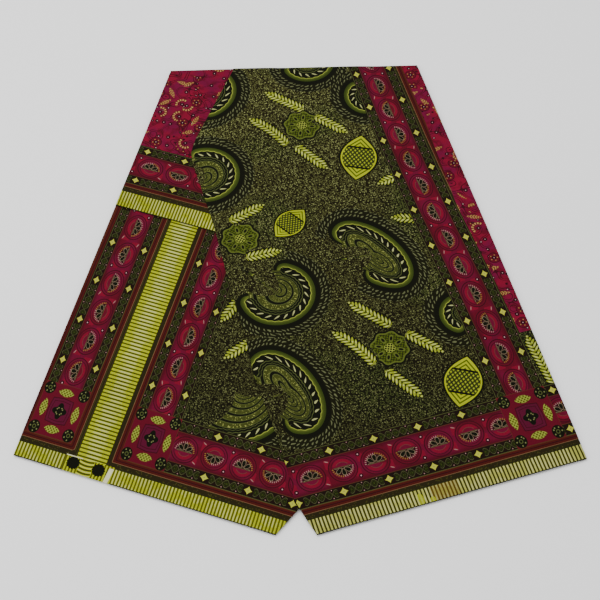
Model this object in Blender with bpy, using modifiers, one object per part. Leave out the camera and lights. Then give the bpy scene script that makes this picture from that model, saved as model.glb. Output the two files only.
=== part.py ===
"""Printed cotton wrap cloth, folded into two legs that fan out in an A shape and laid flat.

The near side with the two hems lies towards -Y, the top fold towards +Y, and the underside rests at Z = 0.
Every wall is a height over the plan: a grid between two edges, lifted by the layers that lie beneath it.
Sizes are in millimetres and are turned to metres where a mesh is made.
"""

import math

import bpy
import numpy as np

OBJECT_NAME = "kanga_wrap_cloth"
MM = 0.001

# Corners of the outline on the plan: name, x, y, and how far in the hidden layers stay on the side after it.
CORNER_TABLE = (
    ("left_outer", -417.0, -312.0, 7.0),
    ("left_inner", -35.0, -438.0, 3.0),
    ("notch", -11.0, -384.0, 3.0),
    ("right_inner", 24.0, -438.0, 7.0),
    ("right_outer", 417.0, -318.0, 3.0),
    ("top_right", 202.0, 438.0, 3.0),
    ("top_left", -222.0, 424.0, 3.0),
)
CORNER = {name: np.array([x, y]) for name, x, y, inset in CORNER_TABLE}

# Free edge of the main panel, in its own frame: how far up from the hem, how far in from the corner's line.
MAIN_EDGE_TABLE = (
    (0.0, 0.0),
    (32.0, -9.0),
    (62.0, -16.0),
    (100.0, -11.0),
    (180.0, -11.0),
    (275.0, -14.0),
    (340.0, -8.0),
    (467.0, -4.0),
    (560.0, 1.0),
    (690.0, 1.0),
    (712.0, 4.0),
    (735.0, 17.0),
    (780.0, 52.0),
    (867.0, 120.0),
)
TURNED_UNDER_FROM = 700.0  # where the free edge's upper corner begins to turn under
TURNED_UNDER_ROWS = (712.0, 724.0, 740.0, 762.0, 790.0, 828.0)

WALL = 1.2  # each visible layer of cloth, with the air it holds
GAP = 0.3  # between one layer and the next

# The layers folded away beneath.
HIDDEN_LAYERS = 4
HIDDEN_HEIGHT = 4.2  # all of them together
HEM_HEIGHT = 2.6  # the same at the hems, where they are pressed thin
HEM_REACH = 62.0  # how far in from a hem the pile has its full height
LAYER_BULGE = 1.1  # how far each layer's rounded rim stands out, at most
WAVER_MEAN = 0.75  # a rim stands out by this share of the bulge
WAVER_SWING = 0.25  # more or less, along the rim
WAVER_PACE = 0.21  # radians from one rim point to the next
WAVER_PACE_STEP = 0.05  # faster for each layer up
WAVER_LAG = 1.9  # and set off by this much

# The turned end, and what the main panel does where it passes over an edge.
TURNED_END_HEM = 464.0  # the selvedge, up from the left leg's hem
TURNED_END_FOOT = 531.0  # where its tucked side starts, up from the right leg's hem
TUCK = 29.0  # how far it runs on under the main panel
LEFT_LEG_TOP_X = 60.0  # where the left leg's hidden edge meets the top fold
STEP_CLEAR = 31.0  # the main panel stays up this far past the edge beneath it
STEP_RUN = 45.0  # and then comes down over this length
HEM_STEP_LOW = 4.0  # close to its hem it lies down again, between these two heights up
HEM_STEP_HIGH = 56.0

# Soft ridges left by storage folds and handling: centre x, centre y, turn, half length, half width, height.
RIDGE_TABLE = (
    (-190.0, 60.0, 72.0, 260.0, 62.0, 0.9),
    (-265.0, -190.0, 70.0, 150.0, 55.0, 0.8),
    (-90.0, -330.0, -20.0, 120.0, 60.0, 0.6),
    (75.0, 90.0, 96.0, 300.0, 70.0, 1.0),
    (235.0, -120.0, 110.0, 240.0, 60.0, 0.9),
    (130.0, -290.0, 20.0, 150.0, 58.0, 0.7),
    (30.0, 330.0, 4.0, 170.0, 60.0, 0.8),
    (-165.0, 350.0, 65.0, 90.0, 48.0, 0.9),
    (320.0, -270.0, 60.0, 90.0, 52.0, 0.6),
)
RIDGE_AT_HEM = 0.4  # the share of a ridge that is left at a hem

# The grids.
CELL = 25.0  # usual depth of a row on the turned end
LONG_CELL = 27.5  # on the two legs
HIDDEN_CELL = 30.0  # on the hidden layers
HEM_ROWS = (0, 10, 20, 31, 43, 57)  # rows close to a hem, where the pile thickens
MAIN_HEM_ROWS = (0, 10, 20, 31, 43, 56, 70, 87)
LEFT_LEG_COLUMNS = 17
TURNED_END_COLUMNS = 8
MAIN_PANEL_COLUMNS = 16
HIDDEN_DEPTH = 740.0  # mean depth of the hidden layers, from hem to top fold
HIDDEN_HEM_COLUMNS = 11
HIDDEN_NOTCH_COLUMNS = 3

# Colours and finish of the printed cotton, one row for each layer: red, green, blue, roughness.
COLOUR_TABLE = {
    "hidden_layers": (0.055, 0.022, 0.016, 0.9),
    "left_leg": (0.16, 0.035, 0.030, 0.85),
    "turned_end": (0.27, 0.012, 0.045, 0.85),
    "main_panel": (0.055, 0.060, 0.012, 0.85),
}


def smooth(x, low, high):
    """0 below low, 1 above high, and an even S between them."""
    t = np.clip((x - low) / (high - low), 0, 1)
    return t * t * (3 - 2 * t)


class LegFrame:
    """A leg's own axes: across runs along its hem, up runs square to it."""

    def __init__(self, corner, along):
        self.corner = corner
        self.length = float(np.hypot(*(along - corner)))
        self.across = (along - corner) / self.length
        self.up = np.array([-self.across[1], self.across[0]])

    def to_plan(self, across, up):
        across, up = np.broadcast_arrays(across, up)
        return self.corner + across[..., None] * self.across + up[..., None] * self.up

    def from_plan(self, plan):
        rest = plan - self.corner
        return rest @ self.across, rest @ self.up


LEFT = LegFrame(CORNER["left_outer"], CORNER["left_inner"])
RIGHT = LegFrame(CORNER["right_inner"], CORNER["right_outer"])


def main_edge(up):
    """How far in the main panel's free edge lies, at a height up from its hem."""
    rows = np.array(MAIN_EDGE_TABLE)
    return np.interp(up, rows[:, 0], rows[:, 1])


def top_line(x):
    """The top fold's y at an x."""
    a, b = CORNER["top_left"], CORNER["top_right"]
    return a[1] + (b[1] - a[1]) * (x - a[0]) / (b[0] - a[0])


LEFT_LEG_HEAD = np.array([LEFT_LEG_TOP_X, top_line(LEFT_LEG_TOP_X)])


def ridges(plan):
    """The height of all the soft ridges together: each is a bell across and along its own line."""
    total = np.zeros(plan.shape[:-1])
    for x, y, turn, half_length, half_width, height in RIDGE_TABLE:
        angle = math.radians(turn)
        dx, dy = plan[..., 0] - x, plan[..., 1] - y
        along = dx * math.cos(angle) + dy * math.sin(angle)
        across = dy * math.cos(angle) - dx * math.sin(angle)
        total += height * np.exp(-((along / half_length) ** 2) - (across / half_width) ** 2)
    return total


def pile_height(plan):
    """The top of the hidden layers: thinner towards the hems, and lifted by the ridges."""
    from_hem = np.minimum(LEFT.from_plan(plan)[1], RIGHT.from_plan(plan)[1])
    share = smooth(from_hem, 0, HEM_REACH)
    ridge_share = RIDGE_AT_HEM + (1 - RIDGE_AT_HEM) * share
    return HEM_HEIGHT + (HIDDEN_HEIGHT - HEM_HEIGHT) * share + ridges(plan) * ridge_share


def past_left_leg(plan):
    """How far a place lies past the left leg's hidden edge, from the notch to the top fold."""
    foot = CORNER["notch"]
    line = (LEFT_LEG_HEAD - foot) / np.hypot(*(LEFT_LEG_HEAD - foot))
    rest = plan - foot
    return rest[..., 0] * line[1] - rest[..., 1] * line[0]


def left_leg_height(plan):
    return pile_height(plan) + GAP + WALL


def turned_end_height(plan):
    return left_leg_height(plan) + GAP + WALL


def main_panel_height(plan):
    """Over the pile alone, one step up over the left leg, and one more over the turned end."""
    across, up = RIGHT.from_plan(plan)
    on_leg = 1 - smooth(past_left_leg(plan), STEP_CLEAR, STEP_CLEAR + STEP_RUN)
    on_leg = on_leg * smooth(up, HEM_STEP_LOW, HEM_STEP_HIGH)
    inside = across - main_edge(up) - TUCK
    up_left = LEFT.from_plan(plan)[1]
    on_end = 1 - smooth(inside, STEP_CLEAR, STEP_CLEAR + STEP_RUN)
    start = TURNED_END_HEM - STEP_CLEAR
    on_end = on_end * smooth(up_left, start - STEP_RUN, start)
    return pile_height(plan) + GAP + WALL + (GAP + WALL) * (on_leg + on_end)


def levels(length, near, cell):
    """Heights from 0 to length: the given steps near the hem, then about one cell each."""
    close = [d for d in near if d < length]
    steps = max(1, round((length - close[-1]) / cell))
    return np.concatenate([close, np.linspace(close[-1], length, steps + 1)[1:]])


def lined(left, right, count):
    """A grid with straight rows, each from its point on the left edge to its point on the right."""
    share = np.linspace(0, 1, count + 1)[None, :, None]
    return left[:, None, :] * (1 - share) + right[:, None, :] * share


def material(name):
    red, green, blue, roughness = COLOUR_TABLE[name]
    made = bpy.data.materials.new(name + "_cotton")
    made.use_nodes = True
    shader = made.node_tree.nodes["Principled BSDF"]
    shader.inputs["Base Color"].default_value = (red, green, blue, 1)
    shader.inputs["Roughness"].default_value = roughness
    shader.inputs["Metallic"].default_value = 0
    return made


def add_object(name, points, faces, collection):
    """A mesh object from points in millimetres, with its own material."""
    mesh = bpy.data.meshes.new(name)
    mesh.from_pydata((points * MM).tolist(), [], faces)
    mesh.update()
    made = bpy.data.objects.new(name, mesh)
    made.data.materials.append(material(name))
    collection.objects.link(made)
    return made


def grid_faces(rows, columns, start=0):
    """The quads of a grid of points, facing up where the rows run towards +Y."""
    corner = start + np.arange(rows - 1)[:, None] * columns + np.arange(columns - 1)
    quads = np.stack([corner, corner + 1, corner + columns + 1, corner + columns], axis=-1)
    return quads.reshape(-1, 4).tolist()


def wall(name, plan, height, collection):
    """One layer of cloth: an open sheet at its top surface, with its thickness added below."""
    rows, columns = plan.shape[:2]
    points = np.dstack([plan, height(plan)]).reshape(-1, 3)
    made = add_object(name, points, grid_faces(rows, columns), collection)
    thick = made.modifiers.new("thickness", "SOLIDIFY")
    thick.thickness = WALL * MM
    thick.offset = -1
    return made


def left_leg_plan():
    """From the left outline to the hidden edge that runs from the notch to the top fold."""
    outer_top = LEFT.from_plan(CORNER["top_left"])
    up = levels(outer_top[1], HEM_ROWS, LONG_CELL)
    share = up / outer_top[1]
    left = LEFT.to_plan(outer_top[0] * share, up)
    notch_share = LEFT.from_plan(CORNER["notch"])[1] / outer_top[1]
    path = np.array([CORNER["left_inner"], CORNER["notch"], LEFT_LEG_HEAD])
    right = np.stack([np.interp(share, (0, notch_share, 1), path[:, k]) for k in (0, 1)], axis=1)
    return lined(left, right, LEFT_LEG_COLUMNS)


def turned_end_plan():
    """From its selvedge to the top fold, and from the left outline to a tuck under the main panel."""
    outer_top = LEFT.from_plan(CORNER["top_left"])
    length = outer_top[1] - TURNED_END_HEM
    up = levels(length, (0,), CELL) + TURNED_END_HEM
    left = LEFT.to_plan(outer_top[0] * up / outer_top[1], up)
    right_up = TURNED_END_FOOT + (MAIN_EDGE_TABLE[-1][0] - TURNED_END_FOOT) * (up - TURNED_END_HEM) / length
    right = RIGHT.to_plan(main_edge(right_up) + TUCK, right_up)
    right[-1] = (right[-1][0], top_line(right[-1][0]))
    return lined(left, right, TURNED_END_COLUMNS)


def main_panel_plan():
    """From its free edge, whose upper corner is turned under, to the right outline."""
    length = MAIN_EDGE_TABLE[-1][0]
    lower = levels(TURNED_UNDER_FROM, MAIN_HEM_ROWS, LONG_CELL)
    up = np.concatenate([lower, TURNED_UNDER_ROWS, [length]])
    left = RIGHT.to_plan(main_edge(up), up)
    left[-1] = (left[-1][0], top_line(left[-1][0]))
    share = up / length
    outer_top = RIGHT.from_plan(CORNER["top_right"])
    right = RIGHT.to_plan(RIGHT.length + (outer_top[0] - RIGHT.length) * share, outer_top[1] * share)
    return lined(left, right, MAIN_PANEL_COLUMNS)


def inset_outline():
    """The outline's corners, each side moved in by its own inset."""
    names = [row[0] for row in CORNER_TABLE]
    insets = np.array([row[3] for row in CORNER_TABLE])
    points = np.array([CORNER[name] for name in names])
    ahead = np.roll(points, -1, axis=0) - points
    ahead /= np.hypot(*ahead.T)[:, None]
    inward = np.stack([-ahead[:, 1], ahead[:, 0]], axis=1)
    placed = points + inward * insets[:, None]
    before, before_ahead = np.roll(placed, 1, axis=0), np.roll(ahead, 1, axis=0)
    gap = placed - before
    turn = before_ahead[:, 0] * ahead[:, 1] - before_ahead[:, 1] * ahead[:, 0]
    along = (gap[:, 0] * ahead[:, 1] - gap[:, 1] * ahead[:, 0]) / turn
    return dict(zip(names, before + before_ahead * along[:, None]))


def hidden_plan():
    """The hidden layers' plan: columns from the two hems and the notch up to the top fold."""
    inner = inset_outline()
    runs = (
        ("left_outer", "left_inner", HIDDEN_HEM_COLUMNS),
        ("left_inner", "notch", HIDDEN_NOTCH_COLUMNS),
        ("notch", "right_inner", HIDDEN_NOTCH_COLUMNS),
        ("right_inner", "right_outer", HIDDEN_HEM_COLUMNS),
    )
    foot = []
    for start, end, count in runs:
        share = np.arange(count)[:, None] / count
        foot.append(inner[start] * (1 - share) + inner[end] * share)
    foot = np.concatenate(foot + [inner["right_outer"][None]])
    share = np.linspace(0, 1, len(foot))[:, None]
    head = inner["top_left"] * (1 - share) + inner["top_right"] * share
    up = levels(HIDDEN_DEPTH, HEM_ROWS, HIDDEN_CELL) / HIDDEN_DEPTH
    return foot[None] * (1 - up[:, None, None]) + head[None] * up[:, None, None]


def rim_of(rows, columns):
    """The numbers of a grid's edge points, in order round it."""
    number = np.arange(rows * columns).reshape(rows, columns)
    return np.concatenate([number[0, :-1], number[:-1, -1], number[-1, :0:-1], number[:0:-1, 0]])


def outward_of(loop):
    """Unit directions out of a closed loop on the plan, that runs anticlockwise."""
    along = np.roll(loop, -1, axis=0) - np.roll(loop, 1, axis=0)
    along /= np.hypot(*along.T)[:, None]
    return np.stack([along[:, 1], -along[:, 0]], axis=1)


def hidden_layers(collection):
    """One solid: a flat underside, a top that carries the visible layers, and a rim of rounded layers.

    Between the two surfaces the rim goes out and in once for each layer, as the edges of a folded pile do.
    """
    plan = hidden_plan()
    rows, columns = plan.shape[:2]
    flat = plan.reshape(-1, 2)
    height = pile_height(plan).reshape(-1)
    count = len(flat)
    top = np.column_stack([flat, height])
    bottom = np.column_stack([flat, np.zeros(count)])
    edge = rim_of(rows, columns)
    outward = outward_of(flat[edge])
    around = np.arange(len(edge))
    profile = []
    for layer in range(HIDDEN_LAYERS):
        pace = WAVER_PACE + WAVER_PACE_STEP * layer
        waver = WAVER_MEAN + WAVER_SWING * np.sin(around * pace + WAVER_LAG * layer)
        profile += [(layer + 0.25, waver), (layer + 0.75, waver), (layer + 1.0, 0 * waver)]
    rings = []
    for step, out in profile[:-1]:
        place = flat[edge] + outward * (LAYER_BULGE * out)[:, None]
        rings.append(np.column_stack([place, height[edge] * step / HIDDEN_LAYERS]))
    points = np.concatenate([bottom, top] + rings)
    faces = grid_faces(rows, columns, count)
    faces += [face[::-1] for face in grid_faces(rows, columns, 0)]
    loops = [edge] + [2 * count + k * len(edge) + around for k in range(len(rings))] + [count + edge]
    for low, high in zip(loops[:-1], loops[1:]):
        quads = np.stack([low, np.roll(low, -1), np.roll(high, -1), high], axis=1)
        faces += quads.tolist()
    return add_object("hidden_layers", points, faces, collection)


def main():
    for old in list(bpy.data.objects):
        bpy.data.objects.remove(old, do_unlink=True)
    collection = bpy.data.collections.new(OBJECT_NAME)
    bpy.context.scene.collection.children.link(collection)
    hidden_layers(collection)
    wall("left_leg", left_leg_plan(), left_leg_height, collection)
    wall("turned_end", turned_end_plan(), turned_end_height, collection)
    wall("main_panel", main_panel_plan(), main_panel_height, collection)


main()
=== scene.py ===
# %% [markdown]
# # A printed wrap cloth, folded and laid flat
# The object is one length of printed cotton. It is folded into two long legs that fan out like an A,
# and its woven selvedges lie towards the viewer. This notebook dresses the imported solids: it makes each
# stretch of cloth that shows as a thin sheet, and prints it with shader nodes.
# Distances here are millimetres until a mesh is made, because cloth is measured that way.

# %% Load the frame
import math

import bpy
import numpy as np
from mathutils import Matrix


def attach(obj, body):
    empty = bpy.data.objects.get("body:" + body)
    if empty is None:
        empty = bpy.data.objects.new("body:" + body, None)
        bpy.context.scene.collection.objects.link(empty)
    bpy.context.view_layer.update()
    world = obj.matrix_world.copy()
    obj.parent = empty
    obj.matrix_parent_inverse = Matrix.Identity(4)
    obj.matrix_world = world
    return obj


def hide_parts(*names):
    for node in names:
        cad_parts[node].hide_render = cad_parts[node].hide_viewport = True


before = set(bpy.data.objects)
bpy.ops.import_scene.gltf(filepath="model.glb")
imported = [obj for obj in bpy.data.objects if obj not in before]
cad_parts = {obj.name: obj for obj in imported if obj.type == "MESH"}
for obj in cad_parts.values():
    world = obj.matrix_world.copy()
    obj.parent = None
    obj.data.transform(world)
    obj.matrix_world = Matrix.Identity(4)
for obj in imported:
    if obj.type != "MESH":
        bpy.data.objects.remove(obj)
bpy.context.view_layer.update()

MM = 0.001

# %% [markdown]
# ## The camera
# The photograph was taken from about two metres up, looking down at 57 degrees through a long lens, so
# the far end is only a little narrower than the near one. The slant of both legs and the even spacing of
# the printed stars give that angle.

# %% Camera
CAMERA_PITCH = 57.03  # degrees below the horizon
CAMERA_PLACE = (0.0, -1.3164, 1.966)
LENS = 90.43  # on a sensor 36 mm wide

camera_data = bpy.data.cameras.new("camera")
camera_data.lens = LENS
camera_data.sensor_width = 36.0
camera = bpy.data.objects.new("camera", camera_data)
camera.location = CAMERA_PLACE
camera.rotation_euler = (math.radians(90 - CAMERA_PITCH), 0, 0)
bpy.context.scene.collection.objects.link(camera)
bpy.context.scene.camera = camera
print("camera", round(math.dist(CAMERA_PLACE, (0, 0, 0)), 2), "m from the cloth")

# %% [markdown]
# ## The layout
# Both legs are straight strips with a hem at the near end, so each gets its own axes: across runs along
# the hem, up runs square to it. The corners, the free edge and the heights are those of the solids. A leg
# keeps its print straight in these axes, which is what makes a flat print easy: it is drawn once, in
# millimetres of cloth, and the fold turns it.

# %% Corners and leg axes
CORNER = {
    "left_outer": (-417.0, -312.0),
    "left_inner": (-35.0, -438.0),
    "notch": (-11.0, -384.0),
    "right_inner": (24.0, -438.0),
    "right_outer": (417.0, -318.0),
    "top_right": (202.0, 438.0),
    "top_left": (-222.0, 424.0),
}
CORNER = {name: np.array(place) for name, place in CORNER.items()}


class LegFrame:
    """A leg's own axes on the plan, from its hem's two ends."""

    def __init__(self, corner, along):
        self.corner = corner
        self.length = float(np.hypot(*(along - corner)))
        self.across = (along - corner) / self.length
        self.up = np.array([-self.across[1], self.across[0]])

    def to_plan(self, across, up):
        """Places on the plan, from places across and up the leg."""
        across, up = np.broadcast_arrays(across, up)
        return self.corner + across[..., None] * self.across + up[..., None] * self.up

    def from_plan(self, plan):
        """Places across and up the leg, from places on the plan."""
        rest = plan - self.corner
        return rest @ self.across, rest @ self.up

    def top(self, across):
        """How far up the top fold lies, at a place across: where a line up meets the fold's line."""
        a, b = CORNER["top_left"], CORNER["top_right"]
        slope = (b[1] - a[1]) / (b[0] - a[0])
        start = self.corner[0] + across * self.across[0], self.corner[1] + across * self.across[1]
        rise = a[1] + slope * (start[0] - a[0]) - start[1]
        return rise / (self.up[1] - slope * self.up[0])


LEFT = LegFrame(CORNER["left_outer"], CORNER["left_inner"])
RIGHT = LegFrame(CORNER["right_inner"], CORNER["right_outer"])
print("hems", round(LEFT.length), "and", round(RIGHT.length), "mm")

# %% [markdown]
# ## Heights
# Each sheet lies on what is beneath it: the hidden layers, then the left leg, then the turned end, then
# the main panel. A layer's height is the pile's height plus one step for each layer below it, and a step
# is let down softly past the edge that makes it, as cotton does. The long low ridges of the solids come
# back here with the narrower creases that storage leaves, which are too fine for the solids.

# %% Heights of the layers
WALL, GAP = 1.2, 0.3
HIDDEN_HEIGHT, HEM_HEIGHT, HEM_REACH = 4.2, 2.6, 62.0
RIDGE_AT_HEM = 0.4
TURNED_END_HEM, TUCK = 464.0, 29.0
LEFT_LEG_TOP_X = 60.0
STEP_CLEAR, STEP_RUN = 31.0, 45.0
HEM_STEP_LOW, HEM_STEP_HIGH = 4.0, 56.0

# Soft ridges: centre x, centre y, turn in degrees, half length, half width, height.
RIDGES = (
    (-190, 60, 72, 260, 62, 0.9),
    (-265, -190, 70, 150, 55, 0.8),
    (-90, -330, -20, 120, 60, 0.6),
    (75, 90, 96, 300, 70, 1.0),
    (235, -120, 110, 240, 60, 0.9),
    (130, -290, 20, 150, 58, 0.7),
    (30, 330, 4, 170, 60, 0.8),
    (-165, 350, 65, 90, 48, 0.9),
    (320, -270, 60, 90, 52, 0.6),
)
# Creases and slight troughs, in the same columns. A trough has a negative height.
CREASES = (
    (-262, -60, 72, 190, 7, 0.45),
    (-150, -190, 68, 130, 6, -0.40),
    (-330, -250, 66, 60, 9, 0.40),
    (-60, -250, 84, 120, 8, 0.40),
    (20, 60, 96, 210, 7, 0.55),
    (108, -80, 104, 230, 8, -0.45),
    (212, 40, 110, 240, 7, 0.50),
    (285, -230, 112, 130, 8, -0.40),
    (70, 300, 8, 130, 9, 0.45),
    (10, 190, 150, 70, 8, 0.35),
    (150, 240, 30, 80, 7, -0.35),
    (60, -180, 20, 120, 9, 0.35),
    (190, -330, 24, 120, 7, 0.30),
    (-180, 280, 40, 60, 8, 0.45),
    (-140, 390, 150, 55, 7, -0.40),
    (-215, 180, 75, 70, 6, 0.35),
)


def smooth(x, low, high):
    """0 below low, 1 above high, and an even S between them."""
    t = np.clip((x - low) / (high - low), 0, 1)
    return t * t * (3 - 2 * t)


def bells(plan, rows):
    """The sum of bells: each is round across its line, long along it, and as high as its row says."""
    total = np.zeros(plan.shape[:-1])
    for x, y, turn, half_length, half_width, height in rows:
        angle = math.radians(turn)
        dx, dy = plan[..., 0] - x, plan[..., 1] - y
        along = dx * math.cos(angle) + dy * math.sin(angle)
        across = dy * math.cos(angle) - dx * math.sin(angle)
        total += height * np.exp(-((along / half_length) ** 2) - (across / half_width) ** 2)
    return total


# The main panel's free edge: how far up from the hem, how far in from the corner's line.
MAIN_EDGE = np.array([
    (0, 0), (32, -9), (62, -16), (100, -11), (180, -11), (275, -14), (340, -8),
    (467, -4), (560, 1), (690, 1), (712, 4), (735, 17), (780, 52), (867, 120),
], dtype=float)


def main_edge(up):
    """The free edge's place across, for a place up the right leg."""
    return np.interp(up, MAIN_EDGE[:, 0], MAIN_EDGE[:, 1])


def pile_height(plan):
    """The top of the hidden layers: thinner towards the hems, and lifted by the ridges."""
    from_hem = np.minimum(LEFT.from_plan(plan)[1], RIGHT.from_plan(plan)[1])
    share = smooth(from_hem, 0, HEM_REACH)
    lift = bells(plan, RIDGES) * (RIDGE_AT_HEM + (1 - RIDGE_AT_HEM) * share)
    return HEM_HEIGHT + (HIDDEN_HEIGHT - HEM_HEIGHT) * share + lift


def past_left_leg(plan):
    """How far a place lies past the left leg's hidden edge, from the notch to the top fold."""
    foot = CORNER["notch"]
    a, b = CORNER["top_left"], CORNER["top_right"]
    head_y = a[1] + (b[1] - a[1]) * (LEFT_LEG_TOP_X - a[0]) / (b[0] - a[0])
    line = np.array([LEFT_LEG_TOP_X, head_y]) - foot
    line = line / np.hypot(*line)
    rest = plan - foot
    return rest[..., 0] * line[1] - rest[..., 1] * line[0]


def left_leg_height(plan):
    """The pile, a breath of air, the cloth's own wall, and the creases."""
    return pile_height(plan) + GAP + WALL + bells(plan, CREASES)


def turned_end_height(plan):
    """One wall more than the left leg, on which it lies."""
    return left_leg_height(plan) + GAP + WALL


def main_panel_height(plan):
    """Over the pile alone, one step up over the left leg, and one more over the turned end."""
    across, up = RIGHT.from_plan(plan)
    on_leg = 1 - smooth(past_left_leg(plan), STEP_CLEAR, STEP_CLEAR + STEP_RUN)
    on_leg = on_leg * smooth(up, HEM_STEP_LOW, HEM_STEP_HIGH)
    inside = across - main_edge(up) - TUCK
    up_left = LEFT.from_plan(plan)[1]
    on_end = 1 - smooth(inside, STEP_CLEAR, STEP_CLEAR + STEP_RUN)
    start = TURNED_END_HEM - STEP_CLEAR
    on_end = on_end * smooth(up_left, start - STEP_RUN, start)
    steps = (GAP + WALL) * (on_leg + on_end)
    return pile_height(plan) + GAP + WALL + steps + bells(plan, CREASES)


sample = np.array([[0.0, 0.0], [-200.0, 0.0], [-150.0, 330.0]])
print("main panel stands", main_panel_height(sample).round(1), "mm high at three places")

# %% [markdown]
# ## Print coordinates
# A print is drawn on the flat cloth before it is folded. So each corner of the mesh keeps two places:
# "print" is its place on the flat cloth, used by the weave and the ground, and "motif" is its place in
# the ornament it belongs to, such as along and across a border. Shader nodes then draw each ornament from
# a formula at any closeness, and the mesh only has to be fine enough to bend.
# The cloth isn't pulled quite square: its threads lean a few millimetres in each leg. One lean for each
# leg turns a place across the leg into a place across the print.

# %% Lean of the threads
LEFT_LEAN = 0.046  # across, for each millimetre up, to the left
RIGHT_LEAN = np.array([
    (0, 7.5), (84, 6.2), (196, 4.5), (273, 3.3), (348, 1.5), (423, -1.5),
    (496, -4.5), (568, -6.0), (643, -6.0), (720, -5.0), (800, -3.6), (900, -3.0),
])


def left_lean(up):
    """How far the threads have leant at a place up the left leg."""
    return -LEFT_LEAN * up


def right_lean(up):
    """The same for the right leg, whose threads bend."""
    return np.interp(up, RIGHT_LEAN[:, 0], RIGHT_LEAN[:, 1])


# %% [markdown]
# ## Where each ornament lies
# The border repeats on every side: a star strip, a crimson band of half flowers and another star strip,
# 89 mm wide along a hem. Beside it run the rust and olive stripes, then the comb selvedge, or the cutting
# band between two cloths. Places across the print are listed once here, and zones, meshes and materials
# all read them.

# %% Lines of the print
COMB = 26.0  # height of the comb selvedge
STRIPES = 42.0  # the stripes reach up to here
BORDER = 131.0  # and the border up to here
BORDER_DESIGN = BORDER - STRIPES

LEFT_BORDER = (4.0, 75.0)
CUTTING_BAND = (89.0, 137.0)
SECOND_BORDER = (150.5, 220.0)

RIGHT_BORDER = (313.0, 389.5)
# The stripes beside the right border get narrower on the way down: place up, and where they end across.
RIGHT_STRIPES = np.array([(0, 391.5), (480, 391.5), (560, 397.5), (660, 403.0), (880, 403.0)])
GREEN_SLIVER_TOP = 228.0  # beside the right border the ground is green below this, crimson above

END_COMB, END_STRIPES, END_BORDER = 33.0, 48.0, 128.0
print("border", BORDER_DESIGN, "mm, cutting band", CUTTING_BAND[1] - CUTTING_BAND[0], "mm")

# %% [markdown]
# ## Sheets
# A sheet is a grid between control lines: columns run up the leg and keep to the lines of the print, and
# rows run across it. Near the top the rows fan out to meet the slanting fold. At a folded edge the grid
# goes on past the outline, over a small half circle and back beneath, so the edge is round and the
# cloth's underside shows there, as it does on a real fold.

# %% Grid of a sheet
ROLL_STEPS = 6  # cells round a folded edge
RUN_BACK = 11.0  # how far a folded edge runs back beneath
FAN_ROUNDS = 4  # places across and up depend on each other, so both are worked out in turn


def overrun_steps(radius):
    """Distances past an edge: round its half circle, then straight back."""
    round_the_edge = math.pi * radius * np.arange(1, ROLL_STEPS + 1) / ROLL_STEPS
    return np.append(round_the_edge, round_the_edge[-1] + RUN_BACK)


def outward(over, radius):
    """How far out of the outline a place is, for how far it has run past the edge: the half circle's
    sine, then straight back in."""
    turned = np.minimum(over / radius, math.pi)
    return radius * np.sin(turned) - np.maximum(over - math.pi * radius, 0)


def drop(over, radius):
    """How far down it is: the half circle's depth, one minus its cosine."""
    return radius * (1 - np.cos(np.minimum(over / radius, math.pi)))


def spaced(marks, cell):
    """Numbers through all the marks, about a cell apart."""
    runs = [np.linspace(a, b, max(1, round((b - a) / cell)) + 1)[:-1] for a, b in zip(marks[:-1], marks[1:])]
    return np.concatenate(runs + [[marks[-1]]])


def sheet_grid(leg, lines, cells, lean, marks, cell, fan_from, radii, height):
    """Places of a sheet's grid, with the print coordinates of each place.

    lines are the control lines' places across as functions of up, cells the numbers of cells between
    them, marks the rows' places up. Above fan_from a row's place is stretched to reach the top fold.
    radii are the folds' radii on the left, right, near and far sides.
    """
    left_r, right_r, near_r, far_r = radii
    nominal = spaced(marks, cell)
    share = np.concatenate([np.arange(n) / n + k for k, n in enumerate(cells)] + [[len(cells)]])
    low = np.minimum(share.astype(int), len(cells) - 1)
    part = share - low
    up = np.repeat(nominal[:, None], len(share), axis=1)
    for _ in range(FAN_ROUNDS):
        places = np.stack([line(up) for line in lines])
        column = np.arange(len(share))
        across = places[low, :, column] * (1 - part[:, None]) + places[low + 1, :, column] * part[:, None]
        across = across.T
        if fan_from is not None:
            stretch = (leg.top(across) - far_r - fan_from) / (marks[-1] - fan_from)
            own = nominal[:, None]
            fanned = fan_from + (own - fan_from) * stretch
            up = np.where(own > fan_from, fanned, own)
    near, far = overrun_steps(near_r), overrun_steps(far_r)
    left, right = overrun_steps(left_r), overrun_steps(right_r)
    over_up = np.concatenate([-near[::-1], np.zeros(len(nominal)), far])[:, None]
    over_across = np.concatenate([-left[::-1], np.zeros(len(share)), right])[None, :]
    pad = ((len(near), len(far)), (len(left), len(right)))
    across, up = np.pad(across, pad, mode="edge"), np.pad(up, pad, mode="edge")
    shift = outward(np.maximum(over_across, 0), right_r) - outward(np.maximum(-over_across, 0), left_r)
    if fan_from is not None:
        up = np.minimum(up, leg.top(across + shift) - far_r)
    plan = leg.to_plan(across, up)
    z = height(plan)
    rise = outward(np.maximum(over_up, 0), far_r) - outward(np.maximum(-over_up, 0), near_r)
    fall = drop(np.maximum(over_across, 0), right_r) + drop(np.maximum(-over_across, 0), left_r)
    fall = fall + drop(np.maximum(over_up, 0), far_r) + drop(np.maximum(-over_up, 0), near_r)
    deepest = 2 * max(left_r, right_r)
    z = z - np.minimum(fall, deepest)
    plan = plan + shift[..., None] * leg.across + rise[..., None] * leg.up
    p = across - lean(up) + over_across
    q = up + over_up
    return np.dstack([plan, z]), across + over_across, p, q


# %% [markdown]
# ## Colours and nodes
# The cloth is wax print: plain-woven cotton, roller printed, with crisp edges, a firm hand and a low
# sheen. Its inks are listed as they look in daylight. One function turns a hex colour to linear light,
# one adds a node, and one works through a table of sums, a Math node for each row, so that a pattern
# reads as the formula it is.

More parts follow.
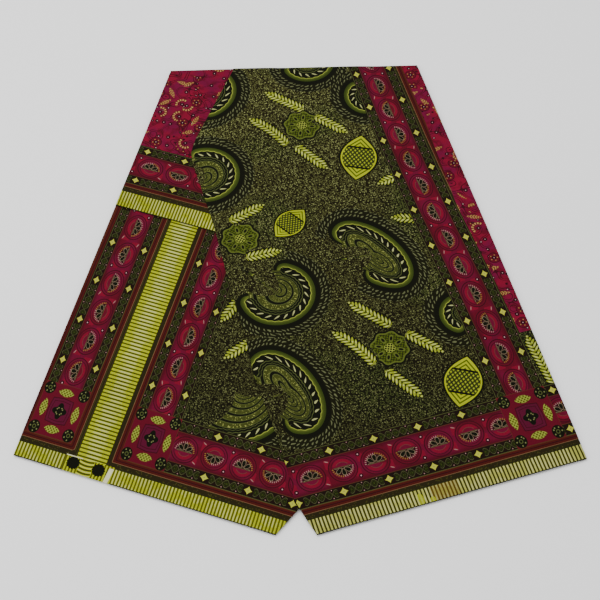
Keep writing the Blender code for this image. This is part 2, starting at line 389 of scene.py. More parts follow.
# %% Inks
INK = dict(
    crimson="#58091c", bright_crimson="#780c28", dark_crimson="#380612", deep_crimson="#28050e",
    purple="#500a26", magenta="#660a30", petal="#720a24", petal_vein="#5c3a30", blush="#b88a8a",
    rust="#44120c", rust_line="#4e2c18", tan="#765438", brown_tint="#6c4c12", rib="#86765a",
    fringe="#94706a", gold_fringe="#846a28", leaf_gold="#98783c", curl_gold="#a8844c",
    ground="#141404", brown_ground="#171003", strip_ground="#180c06", brown_olive="#241e0a",
    black_green="#0c0d03", dark_olive="#22220a", comb_gap="#2e2c06", ladder_gap="#3a3c08",
    fine_gap="#4c4c0a", fan_ground="#3a3f14", speckle="#3a3810", olive="#4a4a0a", green="#2e3a0c",
    moss="#4a5226", drab="#4a4526", wave="#454b28", dash="#5e6240", field_dot="#6c7040",
    rim_green="#47540f", rim_bright="#566020", rim_line="#8c9638", fan_dot="#888c46", drop="#a4a66c",
    lime="#a0a818", leaf_lime="#8c9626", star="#aeb03c", pale_lime="#b8ba52", pale_bar="#a6a84c",
    pale_leaf="#b2b668", cream="#d2d0a4",
)


def linear(ink):
    """A named ink's sRGB hex as linear light, with alpha 1."""
    code = INK[ink].lstrip("#")
    parts = [int(code[i : i + 2], 16) / 255 for i in (0, 2, 4)]
    return tuple(c / 12.92 if c <= 0.04045 else ((c + 0.055) / 1.055) ** 2.4 for c in parts) + (1.0,)


def add(tree, kind, inputs=(), out=0, **settings):
    """Adds a node with its settings and links, and gives back one of its outputs."""
    made = tree.nodes.new("ShaderNode" + kind)
    for name, value in settings.items():
        setattr(made, name, value)
    for key, value in inputs.items() if isinstance(inputs, dict) else enumerate(inputs):
        if isinstance(value, bpy.types.NodeSocket):
            tree.links.new(value, made.inputs[key])
        else:
            made.inputs[key].default_value = value
    return made.outputs[out]


def work(tree, rows, **known):
    """Works through rows of (name, operation, inputs), where an input is a number or an earlier name."""
    for name, operation, *inputs in rows:
        inputs = [known[i] if isinstance(i, str) else i for i in inputs]
        known[name] = add(tree, "Math", inputs, operation=operation)
    return known


def limited(name, source, slope, start, top=1.0, low=0.0):
    """Rows for slope times source plus start, kept between low and top."""
    return (
        (name + "_raw", "MULTIPLY_ADD", source, slope, start),
        (name + "_low", "MAXIMUM", name + "_raw", low),
        (name, "MINIMUM", name + "_low", top),
    )


def rounded(name, source, slope, start, reach):
    """Rows for a quarter circle: w is the source limited to 0 and 1, and the height is reach times the
    root of w (2 - w). name_round is that root."""
    return (
        *limited(name + "_cap", source, slope, start),
        (name + "_rest", "SUBTRACT", 2.0, name + "_cap"),
        (name + "_square", "MULTIPLY", name + "_cap", name + "_rest"),
        (name + "_round", "SQRT", name + "_square"),
        (name, "MULTIPLY", name + "_round", reach),
    )


def oval(name, x, x_half, y, y_half):
    """Rows for (x / x_half) squared plus (y / y_half) squared, which is 1 on an oval's outline."""
    return (
        (name + "_x", "DIVIDE", x, x_half),
        (name + "_y", "DIVIDE", y, y_half),
        (name + "_y2", "MULTIPLY", name + "_y", name + "_y"),
        (name, "MULTIPLY_ADD", name + "_x", name + "_x", name + "_y2"),
    )


def circle(name, x, x_middle, y, y_middle):
    """Rows for the distance from a middle, squared."""
    return (
        (name + "_x", "SUBTRACT", x, x_middle),
        (name + "_y", "SUBTRACT", y, y_middle),
        (name + "_x2", "MULTIPLY", name + "_x", name + "_x"),
        (name, "MULTIPLY_ADD", name + "_y", name + "_y", name + "_x2"),
    )


def lattice(up, down, half, line):
    """Rows for two crossing sets of lines: mesh_line is 1 within line of either, half a cell apart."""
    return (
        ("mesh_up", "PINGPONG", up, half),
        ("mesh_down", "PINGPONG", down, half),
        ("mesh_min", "MINIMUM", "mesh_up", "mesh_down"),
        ("mesh_line", "LESS_THAN", "mesh_min", line),
    )


def print_inks(tree, base, sums, passes):
    """Prints ink over ink, as rollers do: each pass covers what lies under it where its sum is 1.

    base and the inks are names, or colours that were worked out before.
    """
    layer = linear(base) if isinstance(base, str) else base
    for mask, ink in passes:
        cover = linear(ink) if isinstance(ink, str) else ink
        layer = add(tree, "Mix", {0: sums[mask], 6: layer, 7: cover}, out=2, data_type="RGBA")
    return layer


def millimetres(tree, uv_map):
    """A UV map's two numbers in millimetres, and both together as a vector."""
    place = add(tree, "UVMap", uv_map=uv_map)
    vector = add(tree, "VectorMath", {0: place, 3: 1 / MM}, operation="SCALE")
    split = tree.nodes.new("ShaderNodeSeparateXYZ")
    tree.links.new(vector, split.inputs[0])
    return split.outputs[0], split.outputs[1], vector


def textures_at(tree, place, textures):
    """Adds textures of one place, each from its kind and its settings."""
    return {key: add(tree, kind, {"Vector": place, **settings}) for key, (kind, settings) in textures.items()}


print(len(INK), "inks")

# %% [markdown]
# ## The cotton itself
# Every print ends in the same cloth. The threads are about 0.4 mm apart, too fine for the picture, so the
# weave is drawn at 1.3 mm, which reads as the same even tooth. Ink sinks in unevenly, so the colour also
# drifts a little over a hand's breadth, and fine wrinkles bend the light. Washed and pressed cotton is
# matt: a high roughness, next to no specular light and a trace of sheen keep it from looking waxed.

# %% Cotton finish
THREAD = 1.3
ROUGHNESS, SHEEN, SPECULAR = 0.82, 0.02, 0.06
TOOTH, WRINKLE = 0.05, 1.6  # heights of the weave and of the wrinkles, mm
COTTON_TEXTURES = {
    "drift": ("TexNoise", {"Scale": 0.011, "Detail": 3.0}),
    "grain": ("TexNoise", {"Scale": 0.42, "Detail": 2.0}),
    "wrinkle": ("TexNoise", {"Scale": 0.035, "Detail": 2.5}),
}
COTTON_SUMS = (
    ("warp_phase", "MULTIPLY", "p", 2 * math.pi / THREAD),
    ("weft_phase", "MULTIPLY", "q", 2 * math.pi / THREAD),
    ("warp", "SINE", "warp_phase"),
    ("weft", "SINE", "weft_phase"),
    ("weave", "MULTIPLY", "warp", "weft"),
    ("tooth", "MULTIPLY", "weave", TOOTH),
    ("soft", "MULTIPLY", "wrinkle", WRINKLE),
    ("height", "ADD", "tooth", "soft"),
    ("far", "MULTIPLY_ADD", "drift", 0.36, 0.60),
    ("near", "MULTIPLY_ADD", "grain", 0.44, 0.78),
    ("value", "MULTIPLY", "far", "near"),
)
PRINTS = {}  # each print under its kind, in the order of a piece's material slots


def cotton(tree, colour):
    """The woven finish under a printed colour: weave bump, uneven ink, a low sheen."""
    p, q, place = millimetres(tree, "print")
    sums = work(tree, COTTON_SUMS, p=p, q=q, **textures_at(tree, place, COTTON_TEXTURES))
    inked = add(tree, "VectorMath", {0: colour, 3: sums["value"]}, operation="SCALE")
    bump = add(tree, "Bump", {"Strength": 0.5, "Distance": MM, "Height": sums["height"]})
    shader = tree.nodes["Principled BSDF"]
    tree.links.new(inked, shader.inputs["Base Color"])
    tree.links.new(bump, shader.inputs["Normal"])
    shader.inputs["Roughness"].default_value = ROUGHNESS
    shader.inputs["Sheen Weight"].default_value = SHEEN
    shader.inputs["Sheen Roughness"].default_value = 0.5
    shader.inputs["Specular IOR Level"].default_value = SPECULAR


def new_print(name):
    """A new material and its node tree."""
    made = bpy.data.materials.new(name)
    made.use_nodes = True
    return made, made.node_tree


def motif_print(name, names, rows, passes, base=None, **textures):
    """A cotton with one print: sums of the motif's two coordinates and of textures, then ink over ink.

    names are the coordinates' names in the sums, and a texture is its kind and its settings. Where no
    base ink is given, the print lies on the green ground.
    """
    made, tree = new_print(name)
    first, second, place = millimetres(tree, "motif")
    known = {names[0]: first, names[1]: second}
    sums = work(tree, rows, **known, **textures_at(tree, place, textures))
    cotton(tree, print_inks(tree, base or ground_colour(tree), sums, passes))
    return made


print("threads drawn", THREAD, "mm apart, tooth", TOOTH, "mm")

# %% [markdown]
# ## Comb selvedge
# The selvedge carries a comb of bars square to the hem. It is a plain repeat, so a ping-pong of the
# distance along gives each bar: that node runs up to half the pitch and back, and is therefore the
# distance from the nearest bar's middle. The left leg and the turned end have a finer, greener comb.

# %% Comb selvedge
COMB_PITCH = 5.45
BAR_SHARE = 0.54  # how much of the pitch a bar takes
COMB_SUMS = (
    ("wander", "MULTIPLY_ADD", "pale", 1.2, "along"),
    ("from_bar", "PINGPONG", "wander", COMB_PITCH / 2),
    ("bar", "LESS_THAN", "from_bar", COMB_PITCH / 2 * BAR_SHARE),
    ("core", "LESS_THAN", "from_bar", COMB_PITCH / 2 * BAR_SHARE * 0.6),
    *limited("light_top", "pale", 4.0, -1.7, 0.35),
    ("light", "MULTIPLY", "core", "light_top"),
    ("edge", "GREATER_THAN", "across", COMB - 2.2),
    ("foot", "LESS_THAN", "across", 1.0),
    ("both", "MAXIMUM", "edge", "foot"),
)
# The right comb has a run of bars tinted brown, and two yellow blots.
FLAW_SUMS = (
    ("tint_off", "SUBTRACT", "along", 189.0),
    ("tint_size", "ABSOLUTE", "tint_off"),
    *limited("tint", "tint_size", -0.1, 2.3, 0.45),
    ("first_along", "SUBTRACT", "along", 151.0),
    ("first_up", "SUBTRACT", "across", 8.0),
    *oval("first", "first_along", 4.69, "first_up", 10.0),
    ("first_blot", "LESS_THAN", "first", 1.0),
    ("second_along", "SUBTRACT", "along", 168.0),
    ("second_up", "SUBTRACT", "across", 3.0),
    *oval("second", "second_along", 4.123, "second_up", 5.323),
    ("second_blot", "LESS_THAN", "second", 1.0),
    ("blots", "MAXIMUM", "first_blot", "second_blot"),
    ("blot_part", "MULTIPLY", "blots", 0.7),
)
PALE_BARS = ("TexNoise", {"Scale": 0.05, "Detail": 2.0})
PRINTS["comb"] = motif_print(
    "comb_selvedge_print",
    ("along", "across"),
    COMB_SUMS + FLAW_SUMS,
    (
        ("bar", "pale_bar"),
        ("light", "cream"),
        ("tint", "brown_tint"),
        ("blot_part", "lime"),
        ("both", "dark_olive"),
    ),
    "comb_gap",
    pale=PALE_BARS,
)
PRINTS["fine_comb"] = motif_print(
    "fine_comb_selvedge_print",
    ("along", "across"),
    COMB_SUMS,
    (("bar", "lime"), ("light", "cream"), ("both", "dark_olive")),
    "fine_gap",
    pale=PALE_BARS,
)
print("comb", COMB_PITCH, "mm, a bar takes", BAR_SHARE, "of it")

# %% [markdown]
# ## Stripes
# Beside the comb and along the borders run fine stripes. By the distance from the comb they are speckled
# olive, tan, rust, dark crimson, rust, brown and rust again, so each is one comparison of that distance.

# %% Stripes
PRINTS["stripes"] = motif_print(
    "striped_cotton_print",
    ("along", "across"),
    (
        ("first", "COMPARE", "across", 7.3, 0.4),
        ("rust", "GREATER_THAN", "across", 7.7),
        ("second", "COMPARE", "across", 11.7, 0.6),
        ("third", "COMPARE", "across", 15.4, 0.45),
        ("speckled", "LESS_THAN", "speck", 0.32),
    ),
    (
        ("speckled", "speckle"),
        ("rust", "rust"),
        ("second", "deep_crimson"),
        ("third", "rust_line"),
        ("first", "tan"),
    ),
    "brown_olive",
    speck=("TexVoronoi", {"Scale": 0.3}),
)
print("stripes", STRIPES - COMB, "mm wide along a hem")

# %% [markdown]
# ## Cutting band
# Two cloths are printed in one length and parted later, along a ladder of pale bars on olive. Its rungs
# go by the distance along, its darker ends and rails by the distance from its middle. At the hem it ends
# in a foot with bowed rungs, two round marks, a cream block and a cream cap.

# %% Ladder
LADDER_PITCH = 6.35
PRINTS["band"] = motif_print(
    "cutting_band_print",
    ("along", "across"),
    (
        ("to_rung", "PINGPONG", "along", LADDER_PITCH / 2),
        ("rung", "LESS_THAN", "to_rung", 1.95),
        ("off", "SUBTRACT", "across", 24.0),
        ("side", "ABSOLUTE", "off"),
        ("rail", "GREATER_THAN", "side", 22.6),
        ("end", "GREATER_THAN", "side", 19.0),
        ("gap_end", "MULTIPLY", "end", 0.55),
        ("middle", "MULTIPLY_ADD", "side", -0.05, 0.75),
        ("lift", "MULTIPLY_ADD", "pale", 1.6, "middle"),
        ("paleness", "SUBTRACT", "lift", 0.85),
        ("core", "LESS_THAN", "to_rung", 1.3),
        ("light", "MULTIPLY", "core", "paleness"),
        *limited("light_share", "light", 1.0, 0.0, 0.4),
    ),
    (("gap_end", "olive"), ("rung", "lime"), ("light_share", "cream"), ("rail", "dark_olive")),
    "ladder_gap",
    pale=("TexNoise", {"Scale": 0.06, "Detail": 2.0}),
)
print("ladder", LADDER_PITCH, "mm")

# %% [markdown]
# ### Foot of the ladder
# The foot is drawn from its own middle, so its two round marks are one, seen by the distance to either
# side. Their teeth are a sine of the angle round the mark, and the rungs bow with the square of x.

# %% Foot of the ladder
PRINTS["foot"] = motif_print(
    "cutting_band_foot_print",
    ("x", "y"),
    (
        ("x_size", "ABSOLUTE", "x"),
        ("bow", "MULTIPLY", "x", "x"),
        ("bowed", "MULTIPLY_ADD", "bow", -0.014, "y"),
        ("to_rung", "PINGPONG", "bowed", LADDER_PITCH / 2),
        ("rung", "LESS_THAN", "to_rung", 1.7),
        ("core", "LESS_THAN", "to_rung", 0.9),
        *circle("blot_r2", "x_size", 19.7, "y", 15.0),
        ("blot_r", "SQRT", "blot_r2"),
        ("blot_angle", "ARCTAN2", "blot_r2_y", "blot_r2_x"),
        ("blot_turns", "MULTIPLY", "blot_angle", 14.0),
        ("blot_teeth", "SINE", "blot_turns"),
        ("blot_edge", "MULTIPLY_ADD", "blot_teeth", 0.6, 9.8),
        ("blot", "LESS_THAN", "blot_r", "blot_edge"),
        ("beside", "GREATER_THAN", "x_size", 10.5),
        ("to_bar", "PINGPONG", "x", 2.5),
        ("bar", "LESS_THAN", "to_bar", 1.3),
        ("bar_here", "MULTIPLY", "bar", "beside"),
        ("block_x", "MULTIPLY_ADD", "y", -0.12, "x"),
        ("block", "COMPARE", "block_x", 35.0, 3.4),
        ("block_low", "LESS_THAN", "y", 23.0),
        ("cream_block", "MULTIPLY", "block", "block_low"),
        ("cap", "COMPARE", "y", 25.6, 1.2),
        ("cap_left", "LESS_THAN", "x", -8.0),
        ("cream_cap", "MULTIPLY", "cap", "cap_left"),
    ),
    (
        ("rung", "lime"),
        ("core", "pale_lime"),
        ("beside", "fine_gap"),
        ("bar_here", "lime"),
        ("blot", "black_green"),
        ("cream_block", "cream"),
        ("cream_cap", "cream"),
    ),
    "ladder_gap",
)
print("foot", COMB, "mm high")

# %% [markdown]
# ## The border
# Across the border come a star strip, the crimson band and another star strip, so distances are taken
# from the band's middle and both strips share one set of sums. The strip has two crossing waves and a
# four-pointed star every 68 mm. The crimson band holds half flowers, one every 48.7 mm, and every second
# one is turned round: the number of the flower is odd or even, and that flips its own axes.

# %% Star strips
STAR_PITCH = 68.0
STAR_STRIP_SUMS = (
    ("from_middle", "SUBTRACT", "across", 43.75),
    ("off", "ABSOLUTE", "from_middle"),
    ("x", "SUBTRACT", "off", 34.0),
    ("x_size", "ABSOLUTE", "x"),
    ("star_side", "POWER", "x_size", 0.75),
    ("to_star", "PINGPONG", "along", STAR_PITCH / 2),
    ("star_way", "POWER", "to_star", 0.75),
    ("star_sum", "ADD", "star_side", "star_way"),
    ("star", "LESS_THAN", "star_sum", 4.2),
    ("star_eye", "LESS_THAN", "star_sum", 0.9),
    ("near_star", "LESS_THAN", "to_star", 8.5),
    ("phase", "MULTIPLY", "along", 6 * math.pi / STAR_PITCH),
    ("swing", "COSINE", "phase"),
    ("wave", "MULTIPLY", "swing", 6.0),
    ("wave_size", "ABSOLUTE", "wave"),
    ("wave_off", "SUBTRACT", "x_size", "wave_size"),
    ("waves", "COMPARE", "wave_off", 0.0, 0.6),
    ("eye", "LESS_THAN", "wave_off", -2.0),
    ("eye_vein", "COMPARE", "wave_off", -3.6, 0.5),
    ("leaf_lean", "MULTIPLY_ADD", "x_size", 0.8, "along"),
    ("leaf_cut", "PINGPONG", "leaf_lean", 1.7),
    ("leaf_part", "GREATER_THAN", "leaf_cut", 0.5),
    ("leaf", "MULTIPLY", "eye", "leaf_part"),
    ("half_way", "SUBTRACT", "along", STAR_PITCH / 12),
    ("to_bead", "PINGPONG", "half_way", STAR_PITCH / 6),
    *circle("bead_r2", "x_size", 6.4, "to_bead", 0.0),
    ("bead", "LESS_THAN", "bead_r2", 0.8),
    ("in_band", "LESS_THAN", "off", 24.4),
    ("band_edge", "COMPARE", "off", 24.9, 0.5),
    ("strip_edge", "COMPARE", "off", 43.4, 0.45),
)
STRIP_INKS = (
    ("leaf", "green"),
    ("eye_vein", "black_green"),
    ("waves", "wave"),
    ("bead", "fringe"),
    ("near_star", "strip_ground"),
    ("star", "star"),
    ("star_eye", "moss"),
    ("strip_edge", "moss"),
)
print("a star every", STAR_PITCH, "mm")

# %% [markdown]
# ### Half flowers
# A half flower is a fan of dark seeds inside a ring. It is worked out in its own axes: a is the
# distance along from its middle, h the height over its base line, rho and angle the same in the round.

# %% Half flowers
FLOWER_PITCH = 48.7
SEED_TURN = math.radians(50)
FRINGE_TURN = math.radians(12)
FLOWER_SUMS = (
    ("unit", "DIVIDE", "flowers", FLOWER_PITCH),
    ("number", "FLOOR", "unit"),
    ("odd", "FLOORED_MODULO", "number", 2.0),
    ("flip", "MULTIPLY_ADD", "odd", -2.0, 1.0),
    ("part", "FRACT", "unit"),
    ("part_off", "SUBTRACT", "part", 0.5),
    ("a_plain", "MULTIPLY", "part_off", FLOWER_PITCH),
    ("a", "MULTIPLY", "a_plain", "flip"),
    ("y", "MULTIPLY", "from_middle", "flip"),
    ("a2", "MULTIPLY", "a", "a"),
    ("ring_y", "ADD", "y", 1.0),
    ("ring_2", "MULTIPLY_ADD", "ring_y", "ring_y", "a2"),
    ("ring_r", "SQRT", "ring_2"),
    ("ring", "COMPARE", "ring_r", 21.0, 0.8),
    ("inner_ring", "COMPARE", "ring_r", 17.2, 0.5),
    ("swirl_way", "MULTIPLY_ADD", "a", 0.55, "y"),
    ("swirl_2", "MULTIPLY", "swirl_way", "swirl_way"),
    ("swirl_in", "LESS_THAN", "swirl_2", 60.0),
    ("outside", "GREATER_THAN", "ring_r", 21.8),
    ("swirl", "MULTIPLY", "swirl_in", "outside"),
    ("h", "ADD", "y", 4.0),
    ("above", "GREATER_THAN", "h", 0.0),
    ("rho_2", "MULTIPLY_ADD", "h", "h", "a2"),
    ("rho", "SQRT", "rho_2"),
    ("angle", "ARCTAN2", "a", "h"),
    ("to_seed", "PINGPONG", "angle", SEED_TURN / 2),
    ("seed_chord", "MULTIPLY", "to_seed", "rho"),
    ("seed_off", "SUBTRACT", "rho", 8.2),
    ("seed_fat", "MULTIPLY_ADD", "seed_off", 0.22, 2.6),
    *oval("seed_sum", "seed_chord", "seed_fat", "seed_off", 5.0),
    ("seed_in", "LESS_THAN", "seed_sum", 1.0),
    ("seed", "MULTIPLY", "seed_in", "above"),
    ("seed_line_in", "COMPARE", "seed_sum", 1.18, 0.18),
    ("seed_line", "MULTIPLY", "seed_line_in", "above"),
    ("fan_in", "LESS_THAN", "rho", 14.0),
    ("fan", "MULTIPLY", "fan_in", "above"),
    ("to_dash", "PINGPONG", "angle", FRINGE_TURN / 2),
    ("dash_chord", "MULTIPLY", "to_dash", "rho"),
    ("dash_thin", "LESS_THAN", "dash_chord", 0.62),
    ("dash_long", "COMPARE", "rho", 15.2, 1.3),
    ("dash_part", "MULTIPLY", "dash_thin", "dash_long"),
    ("dash", "MULTIPLY", "dash_part", "above"),
    ("base_thin", "COMPARE", "h", 0.0, 0.5),
    ("base_long", "LESS_THAN", "rho", 13.0),
    ("base", "MULTIPLY", "base_thin", "base_long"),
    ("crescent_in", "COMPARE", "ring_r", 13.2, 2.3),
    ("crescent_low", "LESS_THAN", "h", -3.0),
    ("petal", "MULTIPLY", "crescent_in", "crescent_low"),
    ("petal_line_in", "COMPARE", "ring_r", 10.6, 0.35),
    ("petal_line", "MULTIPLY", "petal_line_in", "crescent_low"),
    ("slip_a", "SUBTRACT", "a", 20.5),
    ("slip_y", "ADD", "y", 17.5),
    ("slip_turned", "MULTIPLY_ADD", "slip_a", 0.5, "slip_y"),
    ("slip_way", "DIVIDE", "slip_a", 3.2),
    *circle("slip_sum", "slip_way", 0.0, "slip_turned", 0.0),
    ("slip", "LESS_THAN", "slip_sum", 0.8),
    *circle("spot_r2", "a", -21.5, "y", 17.0),
    ("spot", "LESS_THAN", "spot_r2", 11.0),
    ("spot_eye", "LESS_THAN", "spot_r2", 1.4),
    ("gold_side", "GREATER_THAN", "a", 2.0),
    ("gold_dash", "MULTIPLY", "dash", "gold_side"),
    *limited("hue_share", "hue", 5.0, -2.2, 0.5),
    *limited("shade", "off", 0.11, -1.9, 0.6),
)


FLOWER_INKS = (
    ("hue_share", "magenta"),
    ("swirl", "petal"),
    ("inner_ring", "dark_crimson"),
    ("petal", "petal"),
    ("petal_line", "petal_vein"),
    ("ring", "dark_crimson"),
    ("fan", "deep_crimson"),
    ("seed_line", "rib"),
    ("seed", "black_green"),
    ("dash", "fringe"),
    ("gold_dash", "gold_fringe"),
    ("base", "drab"),
    ("slip", "fringe"),
    ("shade", "dark_crimson"),
    ("spot", "deep_crimson"),
    ("spot_eye", "blush"),
)
print("a half flower every", FLOWER_PITCH, "mm")

# %% [markdown]
# ### Both in one print
# Strip and band are parts of one continuous design, so they are one material: each is inked over its own
# ground, and the distance from the band's middle says which of the two shows. The flowers keep their own
# pitch, so their distance along comes as a third coordinate.

# %% Border print
def third_place(tree):
    """The piece's third motif coordinate, in millimetres."""
    stored = tree.nodes.new("ShaderNodeAttribute")
    stored.attribute_name = "motif_third"
    return add(tree, "Math", (stored.outputs["Fac"], 1 / MM), operation="MULTIPLY")


def border_print():
    """Star strips on brown black, half flowers on crimson, and a fine line between each."""
    made, tree = new_print("border_print")
    along, across, place = millimetres(tree, "motif")
    hue = add(tree, "TexNoise", {"Vector": place, "Scale": 0.02, "Detail": 1.0})
    rows = STAR_STRIP_SUMS + FLOWER_SUMS
    sums = work(tree, rows, along=along, across=across, flowers=third_place(tree), hue=hue)
    strip = print_inks(tree, "strip_ground", sums, STRIP_INKS)
    band = print_inks(tree, "crimson", sums, FLOWER_INKS)
    cotton(tree, print_inks(tree, strip, sums, (("in_band", band), ("band_edge", "rust_line"))))
    return made


PRINTS["border"] = border_print()
print("border", len(STAR_STRIP_SUMS + FLOWER_SUMS), "sums")

# %% [markdown]
# ## Corner squares
# Where two borders meet lies a square: a purple block with a dark flower, four lattice lozenges on its
# sides and four dark roundels in its corners. It has eight-fold symmetry, so the larger and the smaller
# of the two distances from its middle are enough to place one lozenge and one roundel, and the symmetry
# gives the rest.

# %% Corner square
SQUARE_SUMS = (
    ("along_size", "ABSOLUTE", "along"),
    ("across_size", "ABSOLUTE", "across"),
    ("far", "MAXIMUM", "along_size", "across_size"),
    ("near", "MINIMUM", "along_size", "across_size"),
    ("notch", "MULTIPLY_ADD", "near", 0.12, "far"),
    ("block", "LESS_THAN", "notch", 22.0),
    ("block_line", "COMPARE", "notch", 22.0, 0.8),
    ("block_inner", "COMPARE", "notch", 17.0, 0.6),
    ("angle", "ARCTAN2", "across", "along"),
    ("four", "MULTIPLY", "angle", 4.0),
    ("petals", "COSINE", "four"),
    ("petal_r", "MULTIPLY_ADD", "petals", 2.4, 11.6),
    ("near2", "MULTIPLY", "near", "near"),
    ("r2", "MULTIPLY_ADD", "far", "far", "near2"),
    ("r", "SQRT", "r2"),
    ("flower", "LESS_THAN", "r", "petal_r"),
    *circle("dot_r2", "far", 5.2, "near", 3.0),
    ("flower_dot", "LESS_THAN", "dot_r2", 1.4),
    ("lens_way", "DIVIDE", "near", 15.5),
    ("lens_way2", "MULTIPLY", "lens_way", "lens_way"),
    ("lens_half", "MULTIPLY_ADD", "lens_way2", -6.6, 6.6),
    ("lens_off", "SUBTRACT", "far", 31.5),
    ("lens_size", "ABSOLUTE", "lens_off"),
    ("lens", "LESS_THAN", "lens_size", "lens_half"),
    ("slant_up", "ADD", "along", "across"),
    ("slant_down", "SUBTRACT", "along", "across"),
    *lattice("slant_up", "slant_down", 3.0, 1.0),
    ("mesh", "MULTIPLY", "mesh_line", "lens"),
    *circle("round", "far", 34.0, "near", 34.0),
    ("round_r", "SQRT", "round"),
    ("roundel", "LESS_THAN", "round_r", 10.8),
    ("round_ring", "COMPARE", "round_r", 2.9, 0.7),
    ("round_angle", "ARCTAN2", "round_y", "round_x"),
    ("round_step", "PINGPONG", "round_angle", math.radians(30)),
    ("round_chord", "MULTIPLY", "round_step", "round_r"),
    ("bead_off", "SUBTRACT", "round_r", 7.4),
    ("bead_off2", "MULTIPLY", "bead_off", "bead_off"),
    ("bead_sum", "MULTIPLY_ADD", "round_chord", "round_chord", "bead_off2"),
    ("beads", "LESS_THAN", "bead_sum", 1.7),
    ("edge", "GREATER_THAN", "far", 43.8),
)
PRINTS["square"] = motif_print(
    "corner_square_print",
    ("along", "across"),
    SQUARE_SUMS,
    (
        ("edge", "rust_line"),
        ("block", "purple"),
        ("block_inner", "dark_crimson"),
        ("block_line", "dark_crimson"),
        ("flower", "black_green"),
        ("flower_dot", "field_dot"),
        ("lens", "olive"),
        ("mesh", "rim_line"),
        ("roundel", "black_green"),
        ("round_ring", "moss"),
        ("beads", "field_dot"),
    ),
    "crimson",
)
print("corner square", len(SQUARE_SUMS), "sums")

# %% [markdown]
# ## The green ground
# The field is covered with tiny hooked strokes, drawn by hand on the roller. A cell pattern scatters them:
# each cell draws lots, one for the turn of its stroke and one for its kind. A stroke is part of a small
# ring, left open on one side, and every fifth cell has a dot instead. The colour wanders from green to
# brown over the cloth, and the ground is painted brighter up the leg: painted light, as if the far end
# were lit more strongly. The crimson ground draws its motifs in the same way.

# %% Green ground
def scattered(tree, place, spacing, randomness):
    """Cells about a spacing apart: a place's distances from its cell's middle, and the cell's two lots."""
    cells = tree.nodes.new("ShaderNodeTexVoronoi")
    cells.inputs["Scale"].default_value = 1 / spacing
    cells.inputs["Randomness"].default_value = randomness
    tree.links.new(place, cells.inputs["Vector"])
    off = add(tree, "VectorMath", (place, cells.outputs["Position"]), operation="SUBTRACT")
    split = tree.nodes.new("ShaderNodeSeparateXYZ")
    tree.links.new(off, split.inputs[0])
    lots = tree.nodes.new("ShaderNodeSeparateColor")
    tree.links.new(cells.outputs["Color"], lots.inputs[0])
    return {"x": split.outputs[0], "y": split.outputs[1], "pick": lots.outputs[0], "kind": lots.outputs[1]}


# Own axes of a scattered motif, turned by its first lot.
TURN_SUMS = (
    ("turn", "MULTIPLY", "pick", 2 * math.pi),
    ("cos", "COSINE", "turn"),
    ("sin", "SINE", "turn"),
    ("x_cos", "MULTIPLY", "x", "cos"),
    ("y_cos", "MULTIPLY", "y", "cos"),
    ("minus_sin", "MULTIPLY", "sin", -1.0),
    ("a", "MULTIPLY_ADD", "y", "sin", "x_cos"),
    ("b", "MULTIPLY_ADD", "x", "minus_sin", "y_cos"),
    ("a2", "MULTIPLY", "a", "a"),
    ("r2", "MULTIPLY_ADD", "b", "b", "a2"),
    ("r", "SQRT", "r2"),
)
HOOK_SPACING = 4.9
PAINTED_LIGHT_AT_HEM, PAINTED_LIGHT_RISE = 0.6, 0.0011  # painted light on the ground: its share at the hem, and its rise for each mm up
HOOK_SUMS = (
    ("ring", "COMPARE", "r", 1.5, 0.5),
    ("open", "GREATER_THAN", "a", -0.75),
    ("curl", "MULTIPLY", "ring", "open"),
    ("tail_side", "COMPARE", "b", 1.5, 0.5),
    ("tail_way", "COMPARE", "a", -1.1, 1.4),
    ("tail", "MULTIPLY", "tail_side", "tail_way"),
    ("hook_in", "MAXIMUM", "curl", "tail"),
    ("hook_kind", "LESS_THAN", "kind", 0.8),
    ("dot_kind", "SUBTRACT", 1.0, "hook_kind"),
    ("stroke", "MULTIPLY", "hook_in", "hook_kind"),
    ("dot_in", "LESS_THAN", "r", 1.15),
    ("dot", "MULTIPLY", "dot_in", "dot_kind"),
    ("strokes", "MAXIMUM", "stroke", "dot"),
    ("pale_kind", "GREATER_THAN", "kind", 0.62),
    ("pale", "MULTIPLY", "strokes", "pale_kind"),
    *limited("brown", "hue", 4.0, -1.5, 0.5),
    # painted light: the ground grows brighter up the leg, as if the far end were lit more strongly
    ("painted_light", "MULTIPLY_ADD", "q", PAINTED_LIGHT_RISE, PAINTED_LIGHT_AT_HEM),
)


def ground_colour(tree):
    """Hooked strokes and dots on black green, browner in places, with painted light that brightens it up the
    leg.
    """
    q, place = millimetres(tree, "print")[1:]
    hue = add(tree, "TexNoise", {"Vector": place, "Scale": 0.007, "Detail": 1.0})
    cells = scattered(tree, place, HOOK_SPACING, 0.85)
    sums = work(tree, TURN_SUMS + HOOK_SUMS, hue=hue, q=q, **cells)
    green = print_inks(tree, "ground", sums, (("strokes", "moss"), ("pale", "field_dot")))
    brown = print_inks(tree, "brown_ground", sums, (("strokes", "drab"), ("pale", "field_dot")))
    field = print_inks(tree, green, sums, (("brown", brown),))
    # the ground's colour scaled by the painted light, brighter up the leg
    return add(tree, "VectorMath", {0: field, 3: sums["painted_light"]}, operation="SCALE")


PRINTS["green"], green_tree = new_print("green_ground_print")
cotton(green_tree, ground_colour(green_tree))
print("hooked strokes every", HOOK_SPACING, "mm")

# %% [markdown]
# ## Paisleys
# A paisley here is an open rim: a crescent with round ends that holds teardrops, a thick green rim on its
# outer side, and nested dotted bands on its inner side that spread from one end. Its coordinates are how
# far a place is along the rim, how deep it lies inside the outline, and how long the rim is. The round
# ends are quarter circles of those distances, and everything else is a plain comparison.

# %% Paisleys
# How deep the middle of the crescent lies, its half width, and how far the dark ring reaches outside.
CRESCENT = 13.5
CRESCENT_HALF = 6.2
HALO = 21.0

